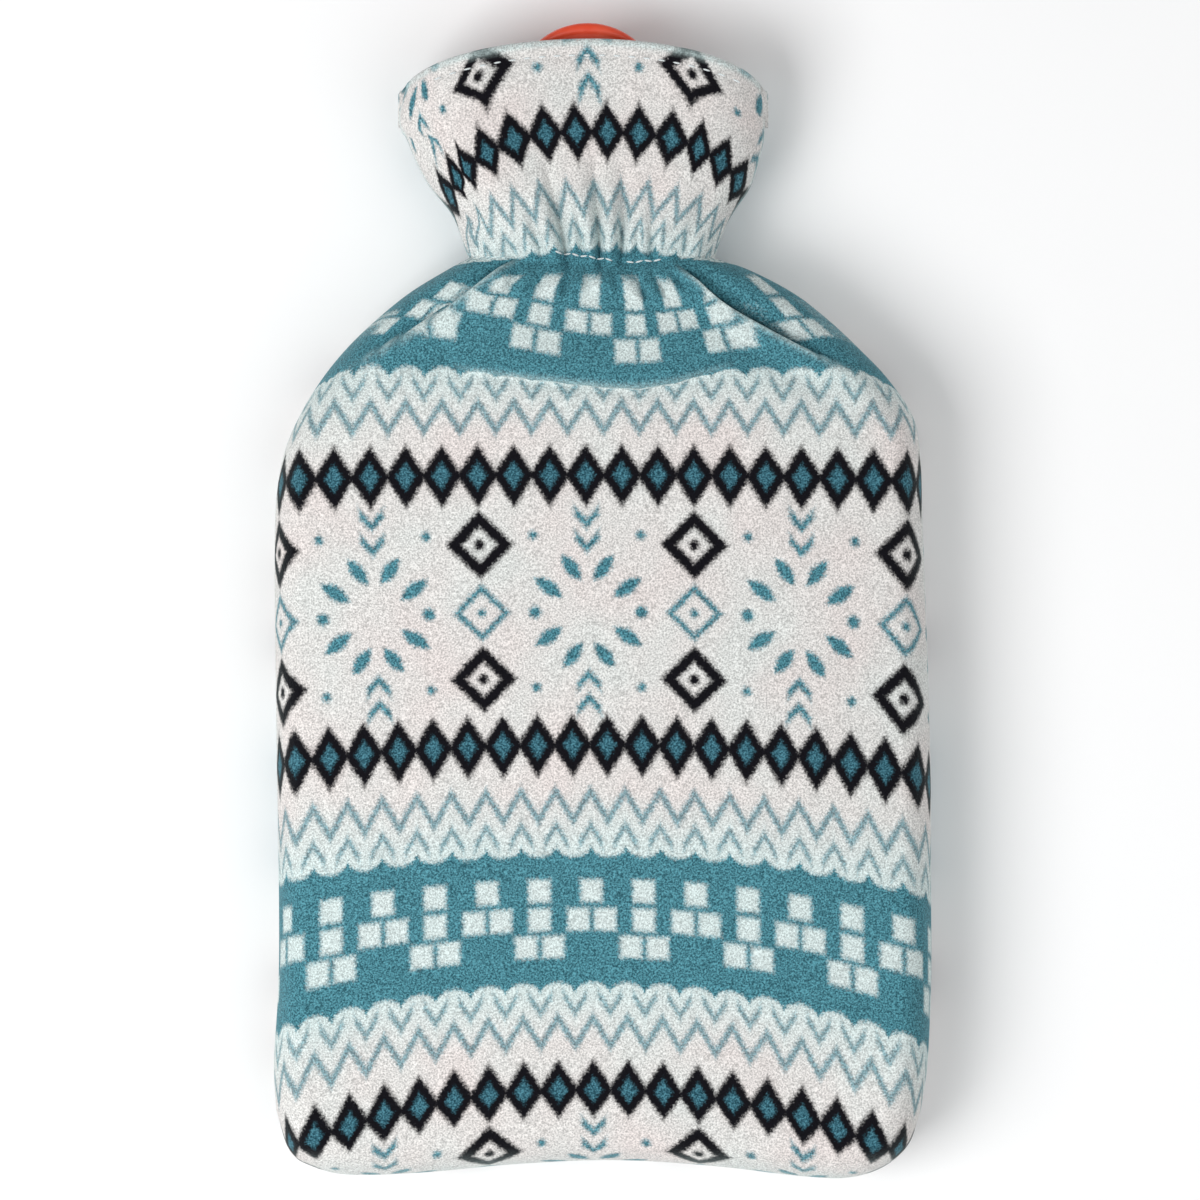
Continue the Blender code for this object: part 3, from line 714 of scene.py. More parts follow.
def panel_mesh(grid, turns, height, leaning, place, seam):
    """Points, faces and print places of a panel: its seam, its turned edge and its face."""
    *row_groups, columns = grid
    rows = sum(row_groups)
    rim = outline(row_groups, columns)
    normal = inward(rim)
    width = column(FULLNESS, 3, rim[:, 1])
    rise = column(FULLNESS, 1, rim[:, 1])
    lines = []
    for turn in turns[:-1]:
        ring = rim + normal * (width * (1.0 - math.cos(math.radians(turn))))[:, None]
        outside = ring - normal * turned_arc(width, rise, turn)[:, None]
        lines.append((ring, outside, np.full(len(ring), turn), np.zeros(len(ring))))
    inner = rim + normal * width[:, None]
    left = inner[:rows + 1]
    right = inner[rows + columns:][::-1]
    top = left[0] + np.linspace(0.0, 1.0, columns + 1)[:, None] * (right[0] - left[0])
    face = patch((left, right, top, inner[rows:rows + columns + 1]), rows, columns)
    points = []
    places = []
    pile = []

    def add_line(plan, printed, turn, crown):
        x, y = plan[:, 0], bow(plan[:, 0], plan[:, 1])
        z = height(x, y, turn, crown)
        lift = np.sin(np.radians(turn)) ** 2
        shift_x, shift_y = leaning(x, y)
        start = len(points)
        points.extend(zip(x + shift_x * lift, y + shift_y * lift, z))
        places.extend(zip(*place(printed[:, 0], bow(printed[:, 0], printed[:, 1]))))
        # The pale mint share of each point: painted sheen at the turned edge, and painted highlight
        # with pale fibre bases at the crests.
        pile.extend(parted_pile_and_painted_sheen(x, y, turn))
        return list(range(start, len(points)))

    rings = [add_line(*line) for line in lines]
    crowns = crown_shares(rows, columns)
    face_rows = [add_line(line, line, np.full(columns + 1, 90.0), crown)
                 for line, crown in zip(face, crowns)]
    seam_line = []
    for k, index in enumerate(rings[0]):
        x, y, z = points[index]
        nx, ny = normal[k]
        seam_line.append(len(points))
        points.append((x + nx * SEAM_TURN_IN, y + ny * SEAM_TURN_IN, seam))
        places.append(places[index])
        pile.append(1.0)
    join = ([row[0] for row in face_rows[:-1]] + face_rows[-1]
            + [row[-1] for row in face_rows[-2::-1]])
    faces = []
    loops = [seam_line] + rings + [join]
    for low, high in zip(loops, loops[1:]):
        for k in range(len(low) - 1):
            faces.append((low[k], low[k + 1], high[k + 1], high[k]))
    for upper, lower in zip(face_rows, face_rows[1:]):
        for k in range(columns):
            faces.append((upper[k], lower[k], lower[k + 1], upper[k + 1]))
    hem = [loop[0] for loop in loops[:-1]] + face_rows[0] + [loop[-1] for loop in loops[-2::-1]]
    return points, places, pile, faces, hem


def fold_hem(points, places, pile, faces, hem, inside, thickness):
    """Adds the hem's cloth, rolled over the edge and lying under it, inside the collar."""
    layer = 2.0 * thickness + HEM_SLACK
    line = hem
    for outwards, depth in HEM_ROLL:
        new_line = []
        for index in hem:
            x, y, z = points[index]
            u, v = places[index]
            new_line.append(len(points))
            points.append((x, y + outwards, z + inside * depth * layer))
            places.append((u, v + 1.0 + depth + max(0.0, -outwards)))
            pile.append(pile[index] * (1.0 - depth))
        for k in range(len(line) - 1):
            faces.append((new_line[k], line[k], line[k + 1], new_line[k + 1]))
        line = new_line


def panel_piece(name, shape, facing, material, settings):
    """A panel as an object: its hem, its print map, and the cloth's thickness inside it.

    The front faces up, which is 1, and the back faces down, which is -1.
    """
    points, places, pile, faces, hem = panel_mesh(*shape, SEAM_HEIGHT + facing * SEAM_GAP / 2)
    fold_hem(points, places, pile, faces, hem, -facing, settings.thickness / MM)
    if facing < 0:
        faces = [face[::-1] for face in faces]
    piece = add_piece(name, points, faces, material, "fleece")
    uv = piece.data.uv_layers.new(name="cloth")
    for loop in piece.data.loops:
        u, v = places[loop.vertex_index]
        uv.data[loop.index].uv = (u * MM, v * MM)
    # Carries the pale mint rims to the material: painted sheen along the turned edges, and painted
    # highlight with pale fibre bases along the crests.
    piece.data.attributes.new("parted_pile_and_painted_sheen", "FLOAT", "POINT").data.foreach_set("value", pile)
    solidify = piece.modifiers.new("Cloth thickness", "SOLIDIFY")
    solidify.thickness = settings.thickness
    solidify.offset = -1.0
    return piece


def stitch_points(start, end, count, lift, zigzag):
    """Middle lines of a row of stitches over the front's cloth."""
    steps = len(STITCH_ARCH)
    stitches = []
    for k in range(count):
        t = np.linspace((k + STITCH_GAPS[0]) / count, (k + 1 - STITCH_GAPS[1]) / count, steps)
        swing = zigzag * (1 if k % 2 else -1)
        x = start[0] + (end[0] - start[0]) * t
        y = start[1] + (end[1] - start[1]) * t + swing * np.linspace(-1.0, 1.0, steps)
        z = front_height(x, y, np.full(steps, 90.0), np.zeros(steps)) + lift * np.array(STITCH_ARCH)
        stitches.append(np.column_stack((x, y, z)))
    return stitches


def thread_mesh(stitches):
    """Short bent threads, each a tube with narrower ends."""
    points, faces = [], []
    for line in stitches:
        ahead = np.gradient(line, axis=0)
        ahead /= np.linalg.norm(ahead, axis=1)[:, None]
        rings = []
        for k, (centre, forward) in enumerate(zip(line, ahead)):
            across = np.cross(forward, (0.0, 0.0, 1.0))
            across /= np.linalg.norm(across)
            above = np.cross(across, forward)
            size = THREAD / 2 * (0.45 if k in (0, len(line) - 1) else 1.0)
            rings.append(range(len(points), len(points) + THREAD_SIDES))
            for n in range(THREAD_SIDES):
                angle = 2.0 * math.pi * n / THREAD_SIDES
                points.append(tuple(centre + size * (math.cos(angle) * across
                                                     + math.sin(angle) * above)))
        for low, high in zip(rings, rings[1:]):
            for n in range(THREAD_SIDES):
                m = (n + 1) % THREAD_SIDES
                faces.append((low[n], low[m], high[m], high[n]))
        faces.append(tuple(rings[0])[::-1])
        faces.append(tuple(rings[-1]))
    return points, faces


# ---------------------------------------------------------------- the bottle's shape

def ring_shape(half_width, half_depth, power):
    """Closed section across the bottle: a rounded rectangle or an oval."""
    angle = 2.0 * np.pi * np.arange(RING_POINTS) / RING_POINTS
    c, s = np.cos(angle), np.sin(angle)
    return np.column_stack((half_width * np.sign(c) * np.abs(c) ** (2.0 / power),
                            half_depth * np.sign(s) * np.abs(s) ** (2.0 / power)))


def straight_ramp(value, start, end):
    """0 up to start, 1 from end on, straight between."""
    return min(1.0, max(0.0, (value - start) / (end - start)))


def body_rings():
    """Sections of the filled body, from its bottom edge to the shoulders."""
    left = edge(BODY_EDGES, 1)
    right = edge(BODY_EDGES, 2)
    rings = []
    for y, fill in BOTTLE_BODY:
        shoulder = straight_ramp(y, *BOTTLE_SHOULDERS)
        clearance = WALL_CLEARANCE + (SHOULDER_CLEARANCE - WALL_CLEARANCE) * shoulder
        corner = BOTTLE_CORNER * (1.0 - straight_ramp(y, BOTTLE_BODY[0][0] - 1.0, -155.0)) ** 2
        x0 = np.interp(-y, -left[:, 1], left[:, 0]) + clearance + corner
        x1 = np.interp(-y, -right[:, 1], right[:, 0]) - clearance - corner
        top = SEAM_HEIGHT + column(FULLNESS, 1, y) - BOTTLE_GAP_ABOVE - SHOULDER_DROP * shoulder
        middle = (top + BOTTLE_LOW) / 2
        half = (top - BOTTLE_LOW) / 2 * fill
        rings.append([((x0 + x1) / 2 + a, y, middle + b)
                      for a, b in ring_shape((x1 - x0) / 2, half, BODY_SQUARENESS)])
    return rings


def lip(x, y_straight, share):
    """y of a funnel ring, the rim's rounded tongue growing out of the straight rings."""
    rim = LIP_TOP - LIP_RADIUS + math.sqrt(max(0.0, LIP_RADIUS ** 2 - x ** 2))
    return y_straight + (rim - y_straight) * share


def funnel_rings():
    """Neck and funnel outside, over the rolled rim, and down inside to the funnel's floor."""
    cx, cz = FUNNEL_CENTRE
    rings = [[(cx + a, y, cz + b) for a, b in ring_shape(half_width, half_depth, FUNNEL_SQUARENESS)]
             for y, half_width, half_depth in FUNNEL]
    straight, half_width, half_depth = FUNNEL[-1]
    for inset, share in LIP_RINGS:
        shape = ring_shape(half_width - inset, half_depth - inset, FUNNEL_SQUARENESS)
        rings.append([(cx + a, lip(a, straight, share), cz + b) for a, b in shape])
    floor = ring_shape(*FLOOR_HALF_SIZES, FUNNEL_SQUARENESS)
    rings.append([(cx + a, FUNNEL_FLOOR, cz + b) for a, b in floor])
    return rings


# ---------------------------------------------------------------- materials

MATH = "ShaderNodeMath"
NOISE = "ShaderNodeTexNoise"
MIX = "ShaderNodeMix"
RANGE = "ShaderNodeMapRange"
VECTOR = "ShaderNodeVectorMath"
PLACE = "ShaderNodeTexCoord"
OBJECT = 3      # the outlet of that node which follows the piece itself


def node(tree, kind, *inputs, outlet=0, named=None, **settings):
    """Adds a node with its settings, fills or links its inputs in order or by name, gives an outlet."""
    made = tree.nodes.new(kind)
    for name, value in settings.items():
        setattr(made, name, value)
    sockets = [socket for socket in made.inputs if socket.enabled]
    chosen = list(zip(sockets, inputs)) + [(made.inputs[name], value)
                                           for name, value in (named or {}).items()]
    for socket, value in chosen:
        if isinstance(value, bpy.types.NodeSocket):
            tree.links.new(value, socket)
        elif value is not None:
            socket.default_value = value
    outlets = [socket for socket in made.outputs if socket.enabled]
    return outlets[outlet] if outlets else None


def new_material(name):
    """A material with an empty tree, and node() for that tree."""
    material = bpy.data.materials.new(name)
    material.use_nodes = True
    material.node_tree.nodes.clear()
    return material, functools.partial(node, material.node_tree)


def largest(add, distances):
    """Several shapes as one: the largest of their inside distances."""
    whole = distances[0]
    for distance in distances[1:]:
        whole = add(MATH, whole, distance, operation="MAXIMUM")
    return whole


def off_centre(add, place, centre):
    """Distance from a centre line, to either side."""
    return add(MATH, add(MATH, place, centre, operation="SUBTRACT"), operation="ABSOLUTE")


def folded(add, place, half):
    """Distance from the nearest of the lines that repeat every two halves."""
    return add(MATH, add(MATH, place, half, -half, operation="WRAP"), operation="ABSOLUTE")


def diamond(add, across, up, half_width, half_height):
    """Inside distance of a diamond, from distances across and up from its middle."""
    scale = 1.0 / math.hypot(1.0 / half_width, 1.0 / half_height)
    left = add(MATH, across, -scale / half_width, scale, operation="MULTIPLY_ADD")
    return add(MATH, up, -scale / half_height, left, operation="MULTIPLY_ADD")


def lozenge(add, across, up, half_width, stroke):
    """Inside distance of a lozenge's outline, drawn inwards from its edge."""
    whole = diamond(add, across, up, half_width, half_width)
    return add(MATH, stroke / 2, off_centre(add, whole, stroke / 2), operation="SUBTRACT")


def square(add, across, up):
    """Inside distance of a square."""
    farther = add(MATH, across, up, SQUARE_ROUNDING, operation="SMOOTH_MAX")
    return add(MATH, SQUARE / 2, farther, operation="SUBTRACT")


def dot(add, across, up, radius):
    """Inside distance of a round dot."""
    squares = add(MATH, up, up, operation="MULTIPLY")
    squares = add(MATH, across, across, squares, operation="MULTIPLY_ADD")
    return add(MATH, radius, add(MATH, squares, operation="SQRT"), operation="SUBTRACT")


def slanted(add, across, up, start, slope, stroke):
    """Inside distance of a slanted line: it starts at a height and rises with each step across."""
    line = add(MATH, across, slope, start, operation="MULTIPLY_ADD")
    return add(MATH, off_centre(add, up, line), -1.0 / math.hypot(1.0, slope), stroke / 2,
               operation="MULTIPLY_ADD")


def cut_off(add, distance, across, reach):
    """A shape that ends at this distance across."""
    return add(MATH, distance, add(MATH, reach, across, operation="SUBTRACT"), operation="MINIMUM")


def petal(add, across, up, centre, length, width, angle):
    """Inside distance of a leaf with two pointed ends."""
    x = add(MATH, across, centre[0], operation="SUBTRACT")
    y = add(MATH, up, centre[1], operation="SUBTRACT")
    c, s = math.cos(math.radians(angle)), math.sin(math.radians(angle))
    along = add(MATH, x, c, add(MATH, y, s, operation="MULTIPLY"), operation="MULTIPLY_ADD")
    aside = add(MATH, y, c, add(MATH, x, -s, operation="MULTIPLY"), operation="MULTIPLY_ADD")
    half = add(MATH, along, along, operation="MULTIPLY")
    half = add(MATH, half, -2.0 * width / length ** 2, width / 2, operation="MULTIPLY_ADD")
    return add(MATH, half, add(MATH, aside, operation="ABSOLUTE"), operation="SUBTRACT")


def print_inks(add, u, v):
    """How much of each ink lies on the cloth at u and v, and how far the ground turns to mint."""
    row_place = add(MATH, v, REPEAT_LONG / 2, -REPEAT_LONG / 2, operation="WRAP")
    height = add(MATH, row_place, operation="ABSOLUTE")
    lower = add(MATH, row_place, 0.0, operation="LESS_THAN")
    # Below the middle the rows are staggered by half a diamond.
    aside = folded(add, add(MATH, lower, -PITCH / 2, u, operation="MULTIPLY_ADD"), PITCH / 2)
    middle_aside = add(MATH, PITCH / 2, aside, operation="SUBTRACT")
    past_row = add(MATH, height, ROW, operation="SUBTRACT")

    diamonds = diamond(add, aside, add(MATH, past_row, operation="ABSOLUTE"), *DIAMOND)
    zigzag = slanted(add, aside, past_row, *ZIGZAG)
    arms = cut_off(add, slanted(add, middle_aside, past_row, *ARMS), middle_aside, ARM_REACH)
    scallop = add(MATH, aside, aside, operation="MULTIPLY")
    scallop = add(MATH, scallop, -4.0 / PITCH ** 2, 1.0, operation="MULTIPLY_ADD")
    scallop = add(MATH, add(MATH, scallop, 0.0, operation="MAXIMUM"), operation="SQRT")
    scallop = add(MATH, scallop, *SCALLOP, operation="MULTIPLY_ADD")
    band = add(MATH, past_row, scallop, operation="SUBTRACT")

    in_band = add(MATH, add(MATH, v, REPEAT_LONG / 2, operation="SUBTRACT"),
                  REPEAT_LONG / 2, -REPEAT_LONG / 2, operation="WRAP")
    squares = []
    for start, heights, pair_height in BAND_MOTIFS:
        place = folded(add, add(MATH, u, start, operation="SUBTRACT"), REPEAT_WIDE / 4)
        spots = [(place, level) for level in heights]
        spots.append((off_centre(add, place, SQUARE_PAIR), pair_height))
        squares += [square(add, across, off_centre(add, in_band, level)) for across, level in spots]

    flake_aside = folded(add, u, REPEAT_WIDE / 2)
    lozenge_aside = add(MATH, REPEAT_WIDE / 2, flake_aside, operation="SUBTRACT")
    lozenge_up = off_centre(add, height, LOZENGE_HEIGHT)
    motifs = [lozenge(add, lozenge_aside, height, *TEAL_LOZENGE),
              dot(add, lozenge_aside, height, TEAL_DOT)]
    quarter_aside = off_centre(add, flake_aside, REPEAT_WIDE / 4)
    for level, radius in QUARTER_DOTS:
        motifs.append(dot(add, quarter_aside, off_centre(add, height, level), radius))
    for leaf in PETALS:
        motifs.append(petal(add, flake_aside, height, *leaf))
    for start in CHEVRONS:
        line = slanted(add, flake_aside, height, start, *CHEVRON_LINE)
        motifs.append(cut_off(add, line, flake_aside, ARM_REACH))

    figures = {
        "thin": [zigzag, arms],
        "full": [band] + motifs,
        "bare": squares,
        "black": [diamonds, lozenge(add, lozenge_aside, lozenge_up, *BLACK_LOZENGE),
                  dot(add, lozenge_aside, lozenge_up, BLACK_DOT)],
        "deep": [add(MATH, diamonds, DEEP_INSET, operation="SUBTRACT")],
    }
    inks = {}
    for name, shapes in figures.items():
        inks[name] = add(RANGE, largest(add, shapes), -BLUR[name], BLUR[name],
                         interpolation_type="SMOOTHSTEP")
    return inks, add(RANGE, band, *TINT_RANGE)


def fleece_material(name, settings):
    """Brushed polyester fleece, knitted, printed on its face and then brushed.

    The brushing blurs every edge of the print into short fibres, and leaves a fine salt-and-pepper
    grain, a matt face and a pale sheen where the pile is seen from the side.
    """
    material, add = new_material(name)
    cloth = add("ShaderNodeUVMap", uv_map="cloth")
    place = add(VECTOR, cloth, (1.0 / MM, 1.0 / MM, 0.0), operation="MULTIPLY")
    fibres = add(VECTOR, add(PLACE, outlet=OBJECT), (1.0 / MM,) * 3, operation="MULTIPLY")
    pile = settings.pile_grain / MM
    # Single fibres are far too thin to show; the grain draws their tufts, about half a millimetre.
    grain = add(NOISE, fibres, 1.0 / pile, 3.0, 0.62)
    curls = add(NOISE, fibres, 1.0 / (2.6 * pile), 2.0, 0.6)
    # Fibre tips pull the ink aside, seldom by more than half a millimetre.
    tips = add(NOISE, fibres, 1.0 / (1.5 * pile), 3.0, 0.7, outlet=1)
    tips = add(VECTOR, tips, (0.5, 0.5, 0.5), operation="SUBTRACT")
    tips = add(VECTOR, tips, (TIP_PULL, TIP_PULL, 0.0), operation="MULTIPLY")
    u = add("ShaderNodeSeparateXYZ", add(VECTOR, place, tips, operation="ADD"))
    inks, tint = print_inks(add, u, u.node.outputs[1])

    # The ground is warm in large patches, and takes up some of the band's teal beside it.
    patches = add(RANGE, add(NOISE, place, 1.0 / PATCH_SIZE, 2.0, 0.5), 0.35, 0.65)
    ground = add(MIX, patches, settings.ground_warm, settings.ground, data_type="RGBA")
    tint = add(MATH, tint, TINT_SHARE, operation="MULTIPLY")
    colour = add(MIX, tint, ground, settings.ground_mint, data_type="RGBA")
    # The teals vary from fibre to fibre.
    teal = add(MIX, add(RANGE, grain, 0.36, 0.64), settings.teal_dark, settings.teal_light,
               data_type="RGBA")
    deep_teal = add(MIX, add(RANGE, grain, 0.38, 0.62), settings.deep_dark, settings.deep_light,
                    data_type="RGBA")
    thin = add(MATH, inks["thin"], THIN_SHARE, operation="MULTIPLY")
    full = add(MATH, 1.0, inks["bare"], operation="SUBTRACT")
    full = add(MATH, inks["full"], full, operation="MULTIPLY")
    full = add(MATH, full, FULL_SHARE, operation="MULTIPLY")
    # Pale mint over the print. Along edges seen edge-on from above it is painted sheen. Along the
    # crests it is partly the pale fibre bases where the pile parts and partly a painted highlight.
    pale_roots_and_painted_sheen = add("ShaderNodeAttribute", outlet=2, attribute_name="parted_pile_and_painted_sheen")
    pale_roots_and_painted_sheen = add(MATH, pale_roots_and_painted_sheen, add(RANGE, curls, 0.3, 0.6, 0.55, 0.95), operation="MULTIPLY")
    layers = ((thin, teal), (full, teal), (inks["black"], settings.black), (inks["deep"], deep_teal),
              (pale_roots_and_painted_sheen, settings.ground_mint))
    for share, ink in layers:
        colour = add(MIX, share, colour, ink, data_type="RGBA")
    # Shadows between the fibres: a speckle that darkens and lightens every ink alike.
    speckle = add(RANGE, curls, 0.3, 0.7, 0.95, 1.04)
    speckle = add(MATH, add(RANGE, grain, 0.36, 0.64, *SPECKLE), speckle, operation="MULTIPLY")
    pile_height = add(MATH, grain, 0.7, add(MATH, curls, 0.5, operation="MULTIPLY"),
                      operation="MULTIPLY_ADD")
    surface = add("ShaderNodeBsdfPrincipled", named={
        "Base Color": add(VECTOR, colour, speckle, operation="SCALE"),
        "Normal": add("ShaderNodeBump", 0.6, 0.0007, named={"Height": pile_height}),
        "Roughness": 0.94,
        "Specular IOR Level": 0.12,
        "Sheen Weight": 0.20,
        "Sheen Roughness": 0.35,
        "Sheen Tint": hex_colour("#dff4f3"),
    })
    add("ShaderNodeOutputMaterial", surface)
    return material


def rubber_material(name, settings):
    """Moulded natural rubber: smooth, a little waxy, with a fine mould grain and a pale bloom."""
    material, add = new_material(name)
    place = add(PLACE, outlet=OBJECT)
    bloom = add(NOISE, place, 1.0 / RUBBER_BLOOM, 3.0, 0.55)
    grain = add(NOISE, place, 1.0 / RUBBER_GRAIN, 2.0, 0.5)
    worn = add(RANGE, bloom, 0.35, 0.75, 0.0, 0.7)
    surface = add("ShaderNodeBsdfPrincipled", named={
        "Base Color": add(MIX, worn, settings.rubber, settings.rubber_light, data_type="RGBA"),
        "Roughness": add(RANGE, bloom, 0.3, 0.7, 0.30, 0.46),
        "Normal": add("ShaderNodeBump", 0.15, 0.0002, named={"Height": grain}),
        "IOR": 1.52,
    })
    add("ShaderNodeOutputMaterial", surface)
    return material


def thread_material(name, colour):
    """Spun polyester sewing thread: two twisted plies, which glint softly across the twist."""
    material, add = new_material(name)
    # Real plies turn every half millimetre; the wave draws them at that size.
    turned = add("ShaderNodeMapping", add(PLACE, outlet=OBJECT), None, (0.0, 0.0, math.radians(38.0)))
    plies = add("ShaderNodeTexWave", turned, 1.0 / PLY_WAVE, 1.2, 2.0)
    # The grey between the plies is painted shade in the grooves between them.
    surface = add("ShaderNodeBsdfPrincipled", named={
        "Base Color": add(MIX, plies, hex_colour("#c9d6d8"), colour, data_type="RGBA"),
        "Normal": add("ShaderNodeBump", 0.4, 0.0002, named={"Height": plies}),
        "Roughness": 0.6,
        "Sheen Weight": 0.2,
    })
    add("ShaderNodeOutputMaterial", surface)
    return material


def paper_material(name, colour):
    """Matt studio paper, rolled out flat: nearly even, with a faint mottle."""
    material, add = new_material(name)
    mottle = add(RANGE, add(NOISE, add(PLACE, outlet=OBJECT), 6.0, 3.0, 0.5), 0.3, 0.7, 0.985, 1.0)
    surface = add("ShaderNodeBsdfPrincipled", named={
        "Base Color": add(VECTOR, tuple(colour)[:3], mottle, operation="SCALE"),
        "Roughness": 0.9,
        "Specular IOR Level": 0.1,
    })
    add("ShaderNodeOutputMaterial", surface)
    return material


# ---------------------------------------------------------------- settings

def colour_setting(name, description, code):
    """A colour in the sidebar, with an sRGB hex value to start from."""
    return bpy.props.FloatVectorProperty(
        name=name, description=description, subtype="COLOR", size=4, default=hex_colour(code))


class CoverSettings(bpy.types.PropertyGroup):
    """The cover's cloth and the inks of its print."""
    thickness: bpy.props.FloatProperty(
        name="Cloth", description="Thickness of the fleece with its pile",
        default=0.0014, min=0.001, max=0.003, precision=4, unit="LENGTH")
    pile_grain: bpy.props.FloatProperty(
        name="Pile grain", description="Size of the speckle between the fibres",
        default=0.00055, min=0.0002, max=0.002, precision=5, unit="LENGTH")
    ground: colour_setting("Ground", "Unprinted fleece", "#e1e3e0")
    ground_warm: colour_setting("Warm ground", "Fleece where no ink has bled", "#e6dedb")
    # This mint is also the colour of the painted sheen along turned edges and crests.
    ground_mint: colour_setting("Mint ground", "Fleece beside the teal band", "#d2e6e5")
    teal_dark: colour_setting("Teal, dark fibres", "The band's darker fibres", "#1c5f6e")
    teal_light: colour_setting("Teal, light fibres", "The band's lighter fibres", "#5396a4")
    deep_dark: colour_setting("Deep teal, dark fibres", "Inside the diamonds", "#224f5e")
    deep_light: colour_setting("Deep teal, light fibres", "Inside the diamonds", "#4d8190")
    black: colour_setting("Black", "The diamonds' outlines", "#100f15")
    thread: colour_setting("Thread", "Sewing thread", "#f4f6f6")


class BottleSettings(bpy.types.PropertyGroup):
    """The rubber bottle's colours."""
    rubber: colour_setting("Rubber", "The bottle and its funnel", "#df4320")
    rubber_light: colour_setting("Rubber, worn", "Where the rubber has a pale bloom", "#ee6647")


class StageSettings(bpy.types.PropertyGroup):
    """The floor and the studio's light."""
    floor: colour_setting("Floor", "Studio paper", "#fbfbfb")
    sky: bpy.props.FloatProperty(
        name="Sky", description="Strength of the light from all round", default=0.41, min=0.0, max=4.0)
    key_power: bpy.props.FloatProperty(
        name="Key light", description="Power of the large soft light", default=25.5,
        min=0.0, max=400.0, unit="POWER")


# ---------------------------------------------------------------- operators

class COVER_OT_front(bpy.types.Operator):
    """Build the front panel with its gathers, tucks, hem and print"""
    bl_idname = "cover.front"
    bl_label = "Front panel"

    def execute(self, context):
        settings = context.scene.cover
        material = fleece_material("brushed_fleece_front", settings)
        shape = (FRONT_GRID, FRONT_TURNS, front_height, lean, print_place)
        piece = panel_piece("front_panel", shape, 1, material, settings)
        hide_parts("cover_front")
        return {"FINISHED"}


class COVER_OT_back(bpy.types.Operator):
    """Build the back panel, which lies flat under the bottle"""
    bl_idname = "cover.back"
    bl_label = "Back panel"

    def execute(self, context):
        settings = context.scene.cover
        material = fleece_material("brushed_fleece_back", settings)
        shape = (BACK_GRID, BACK_TURNS, back_height, unfolded, back_print)
        piece = panel_piece("back_panel", shape, -1, material, settings)
        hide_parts("cover_back")
        return {"FINISHED"}


class COVER_OT_stitches(bpy.types.Operator):
    """Sew the rows of stitches over the elastic and along the hem"""
    bl_idname = "cover.stitches"
    bl_label = "Stitches"

    def execute(self, context):
        material = thread_material("spun_polyester_thread", context.scene.cover.thread)
        elastic = []
        length, *form = ELASTIC_STITCH
        for start, end in ELASTIC_STITCHES:
            count = round(math.dist(start, end) / length)
            elastic += stitch_points(start, end, count, *form)
        add_piece("elastic_stitches", *thread_mesh(elastic), material, "fleece")
        hem = []
        length, *form = HEM_STITCH
        for x in np.arange(*HEM_STITCHES):
            ends = np.array((x, x + length))
            start, end = zip(ends, hem_line(ends) - HEM_STITCH_DROP)
            hem += stitch_points(start, end, 1, *form)
        add_piece("hem_stitches", *thread_mesh(hem), material, "fleece")
        return {"FINISHED"}


class COVER_OT_bottle(bpy.types.Operator):
    """Build the rubber bottle with its funnel, and finish its stopper"""
    bl_idname = "cover.bottle"
    bl_label = "Bottle"

    def execute(self, context):
        material = rubber_material("moulded_rubber", context.scene.bottle)
        rings = body_rings() + funnel_rings()
        points = [point for ring in rings for point in ring]
        lines = [range(k * RING_POINTS, (k + 1) * RING_POINTS) for k in range(len(rings))]
        faces = []
        for low, high in zip(lines, lines[1:]):
            for k in range(RING_POINTS):
                n = (k + 1) % RING_POINTS
                faces.append((low[k], high[k], high[n], low[n]))
        faces.append(tuple(lines[0]))
        faces.append(tuple(lines[-1])[::-1])
        piece = add_piece("bottle_body", points, faces, material, "rubber")
        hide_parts("bottle")
        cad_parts["stopper"].data.materials.clear()
        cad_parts["stopper"].data.materials.append(material)
        return {"FINISHED"}


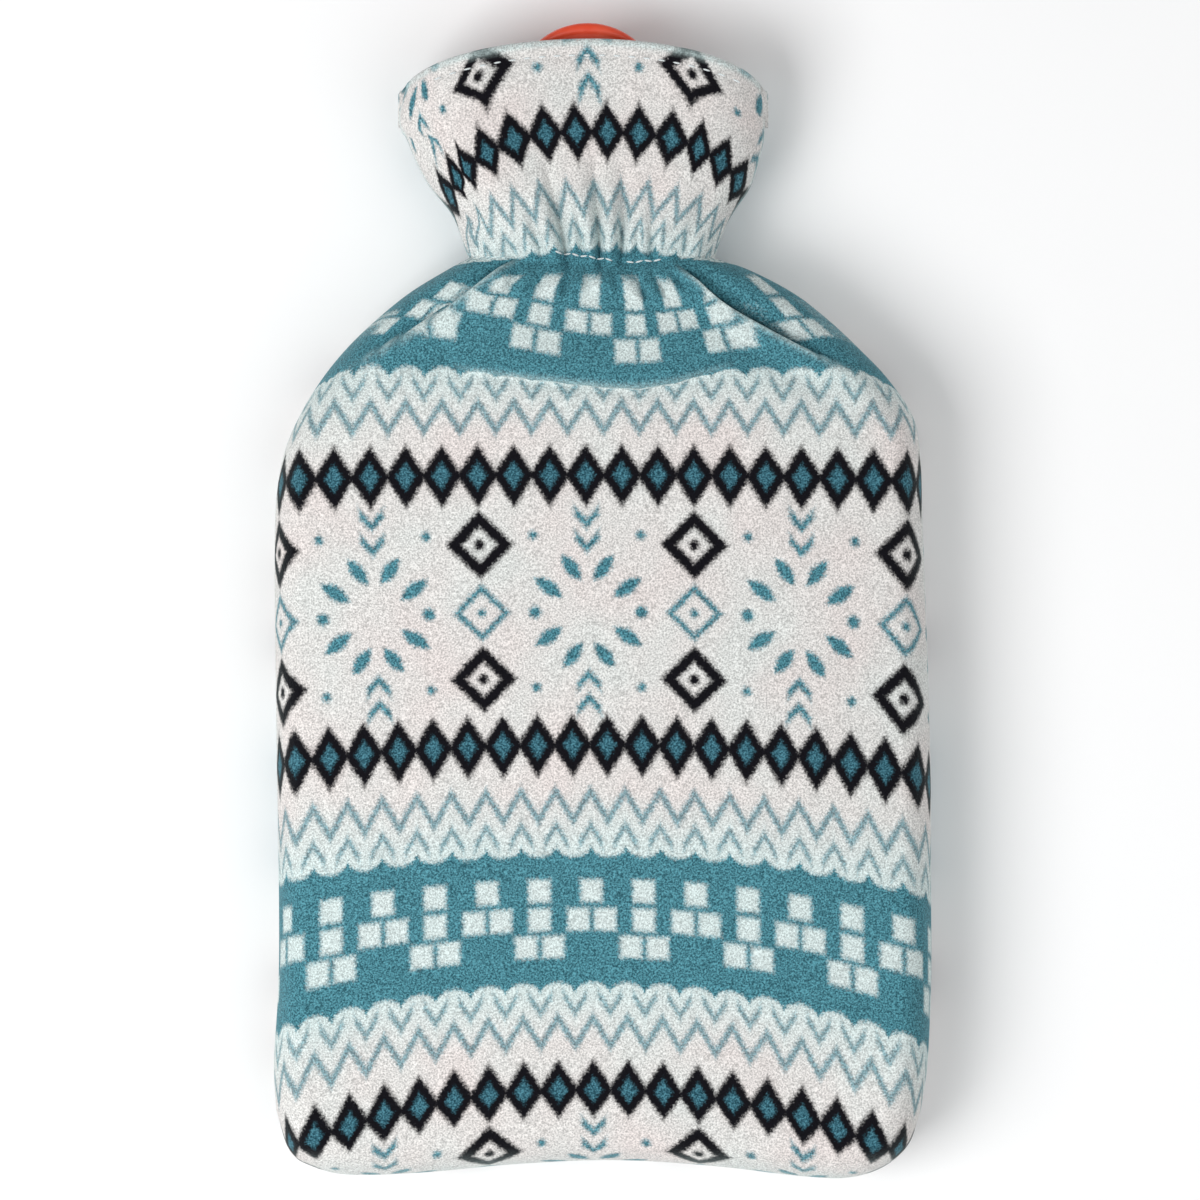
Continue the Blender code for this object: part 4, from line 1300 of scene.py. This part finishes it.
class COVER_OT_stage(bpy.types.Operator):
    """Lay out the floor, the soft lights and the camera"""
    bl_idname = "cover.stage"
    bl_label = "Stage"

    def execute(self, context):
        settings = context.scene.stage
        scene = context.scene
        bpy.ops.mesh.primitive_plane_add(size=FLOOR_SIZE, location=(0.0, 0.0, -FLOOR_GAP))
        floor = context.object
        floor.name = "floor"
        floor.data.materials.append(paper_material("studio_paper", settings.floor))

        world = bpy.data.worlds.new("studio")
        world.use_nodes = True
        background = world.node_tree.nodes["Background"]
        background.inputs["Color"].default_value = hex_colour("#fdfeff")
        background.inputs["Strength"].default_value = settings.sky
        scene.world = world
        for name, place, size, share in LIGHTS:
            data = bpy.data.lights.new(name, "AREA")
            data.size = size
            data.energy = settings.key_power * share
            light = bpy.data.objects.new(name, data)
            light.location = place
            aim = -light.location.normalized()
            light.rotation_euler = aim.to_track_quat("-Z", "Y").to_euler()
            scene.collection.objects.link(light)

        camera = bpy.data.objects.new("camera", bpy.data.cameras.new("camera"))
        camera.data.sensor_width = SENSOR
        camera.data.lens = LENS
        camera.data.clip_end = SIGHT
        camera.location = CAMERA
        scene.collection.objects.link(camera)
        scene.camera = camera
        scene.view_settings.view_transform = "Standard"
        return {"FINISHED"}


class COVER_PT_panel(bpy.types.Panel):
    """Lists the cover's pieces and their settings"""
    bl_label = "Bottle Cover"
    bl_space_type = "VIEW_3D"
    bl_region_type = "UI"
    bl_category = "Bottle Cover"

    def draw(self, context):
        layout = self.layout
        for settings in (context.scene.cover, context.scene.bottle, context.scene.stage):
            column_box = layout.box()
            for name in settings.__annotations__:
                column_box.prop(settings, name)
        for operator in OPERATORS:
            layout.operator(operator.bl_idname)


OPERATORS = (COVER_OT_front, COVER_OT_back, COVER_OT_stitches, COVER_OT_bottle, COVER_OT_stage)
SETTINGS = (("cover", CoverSettings), ("bottle", BottleSettings), ("stage", StageSettings))


def register():
    for _, group in SETTINGS:
        bpy.utils.register_class(group)
    for name, group in SETTINGS:
        setattr(bpy.types.Scene, name, bpy.props.PointerProperty(type=group))
    for operator in OPERATORS:
        bpy.utils.register_class(operator)
    bpy.utils.register_class(COVER_PT_panel)


def unregister():
    bpy.utils.unregister_class(COVER_PT_panel)
    for operator in reversed(OPERATORS):
        bpy.utils.unregister_class(operator)
    for name, group in reversed(SETTINGS):
        delattr(bpy.types.Scene, name)
        bpy.utils.unregister_class(group)


def main():
    register()
    bpy.ops.cover.front()
    bpy.ops.cover.back()
    bpy.ops.cover.stitches()
    bpy.ops.cover.bottle()
    bpy.ops.cover.stage()


if __name__ == "__main__":
    main()
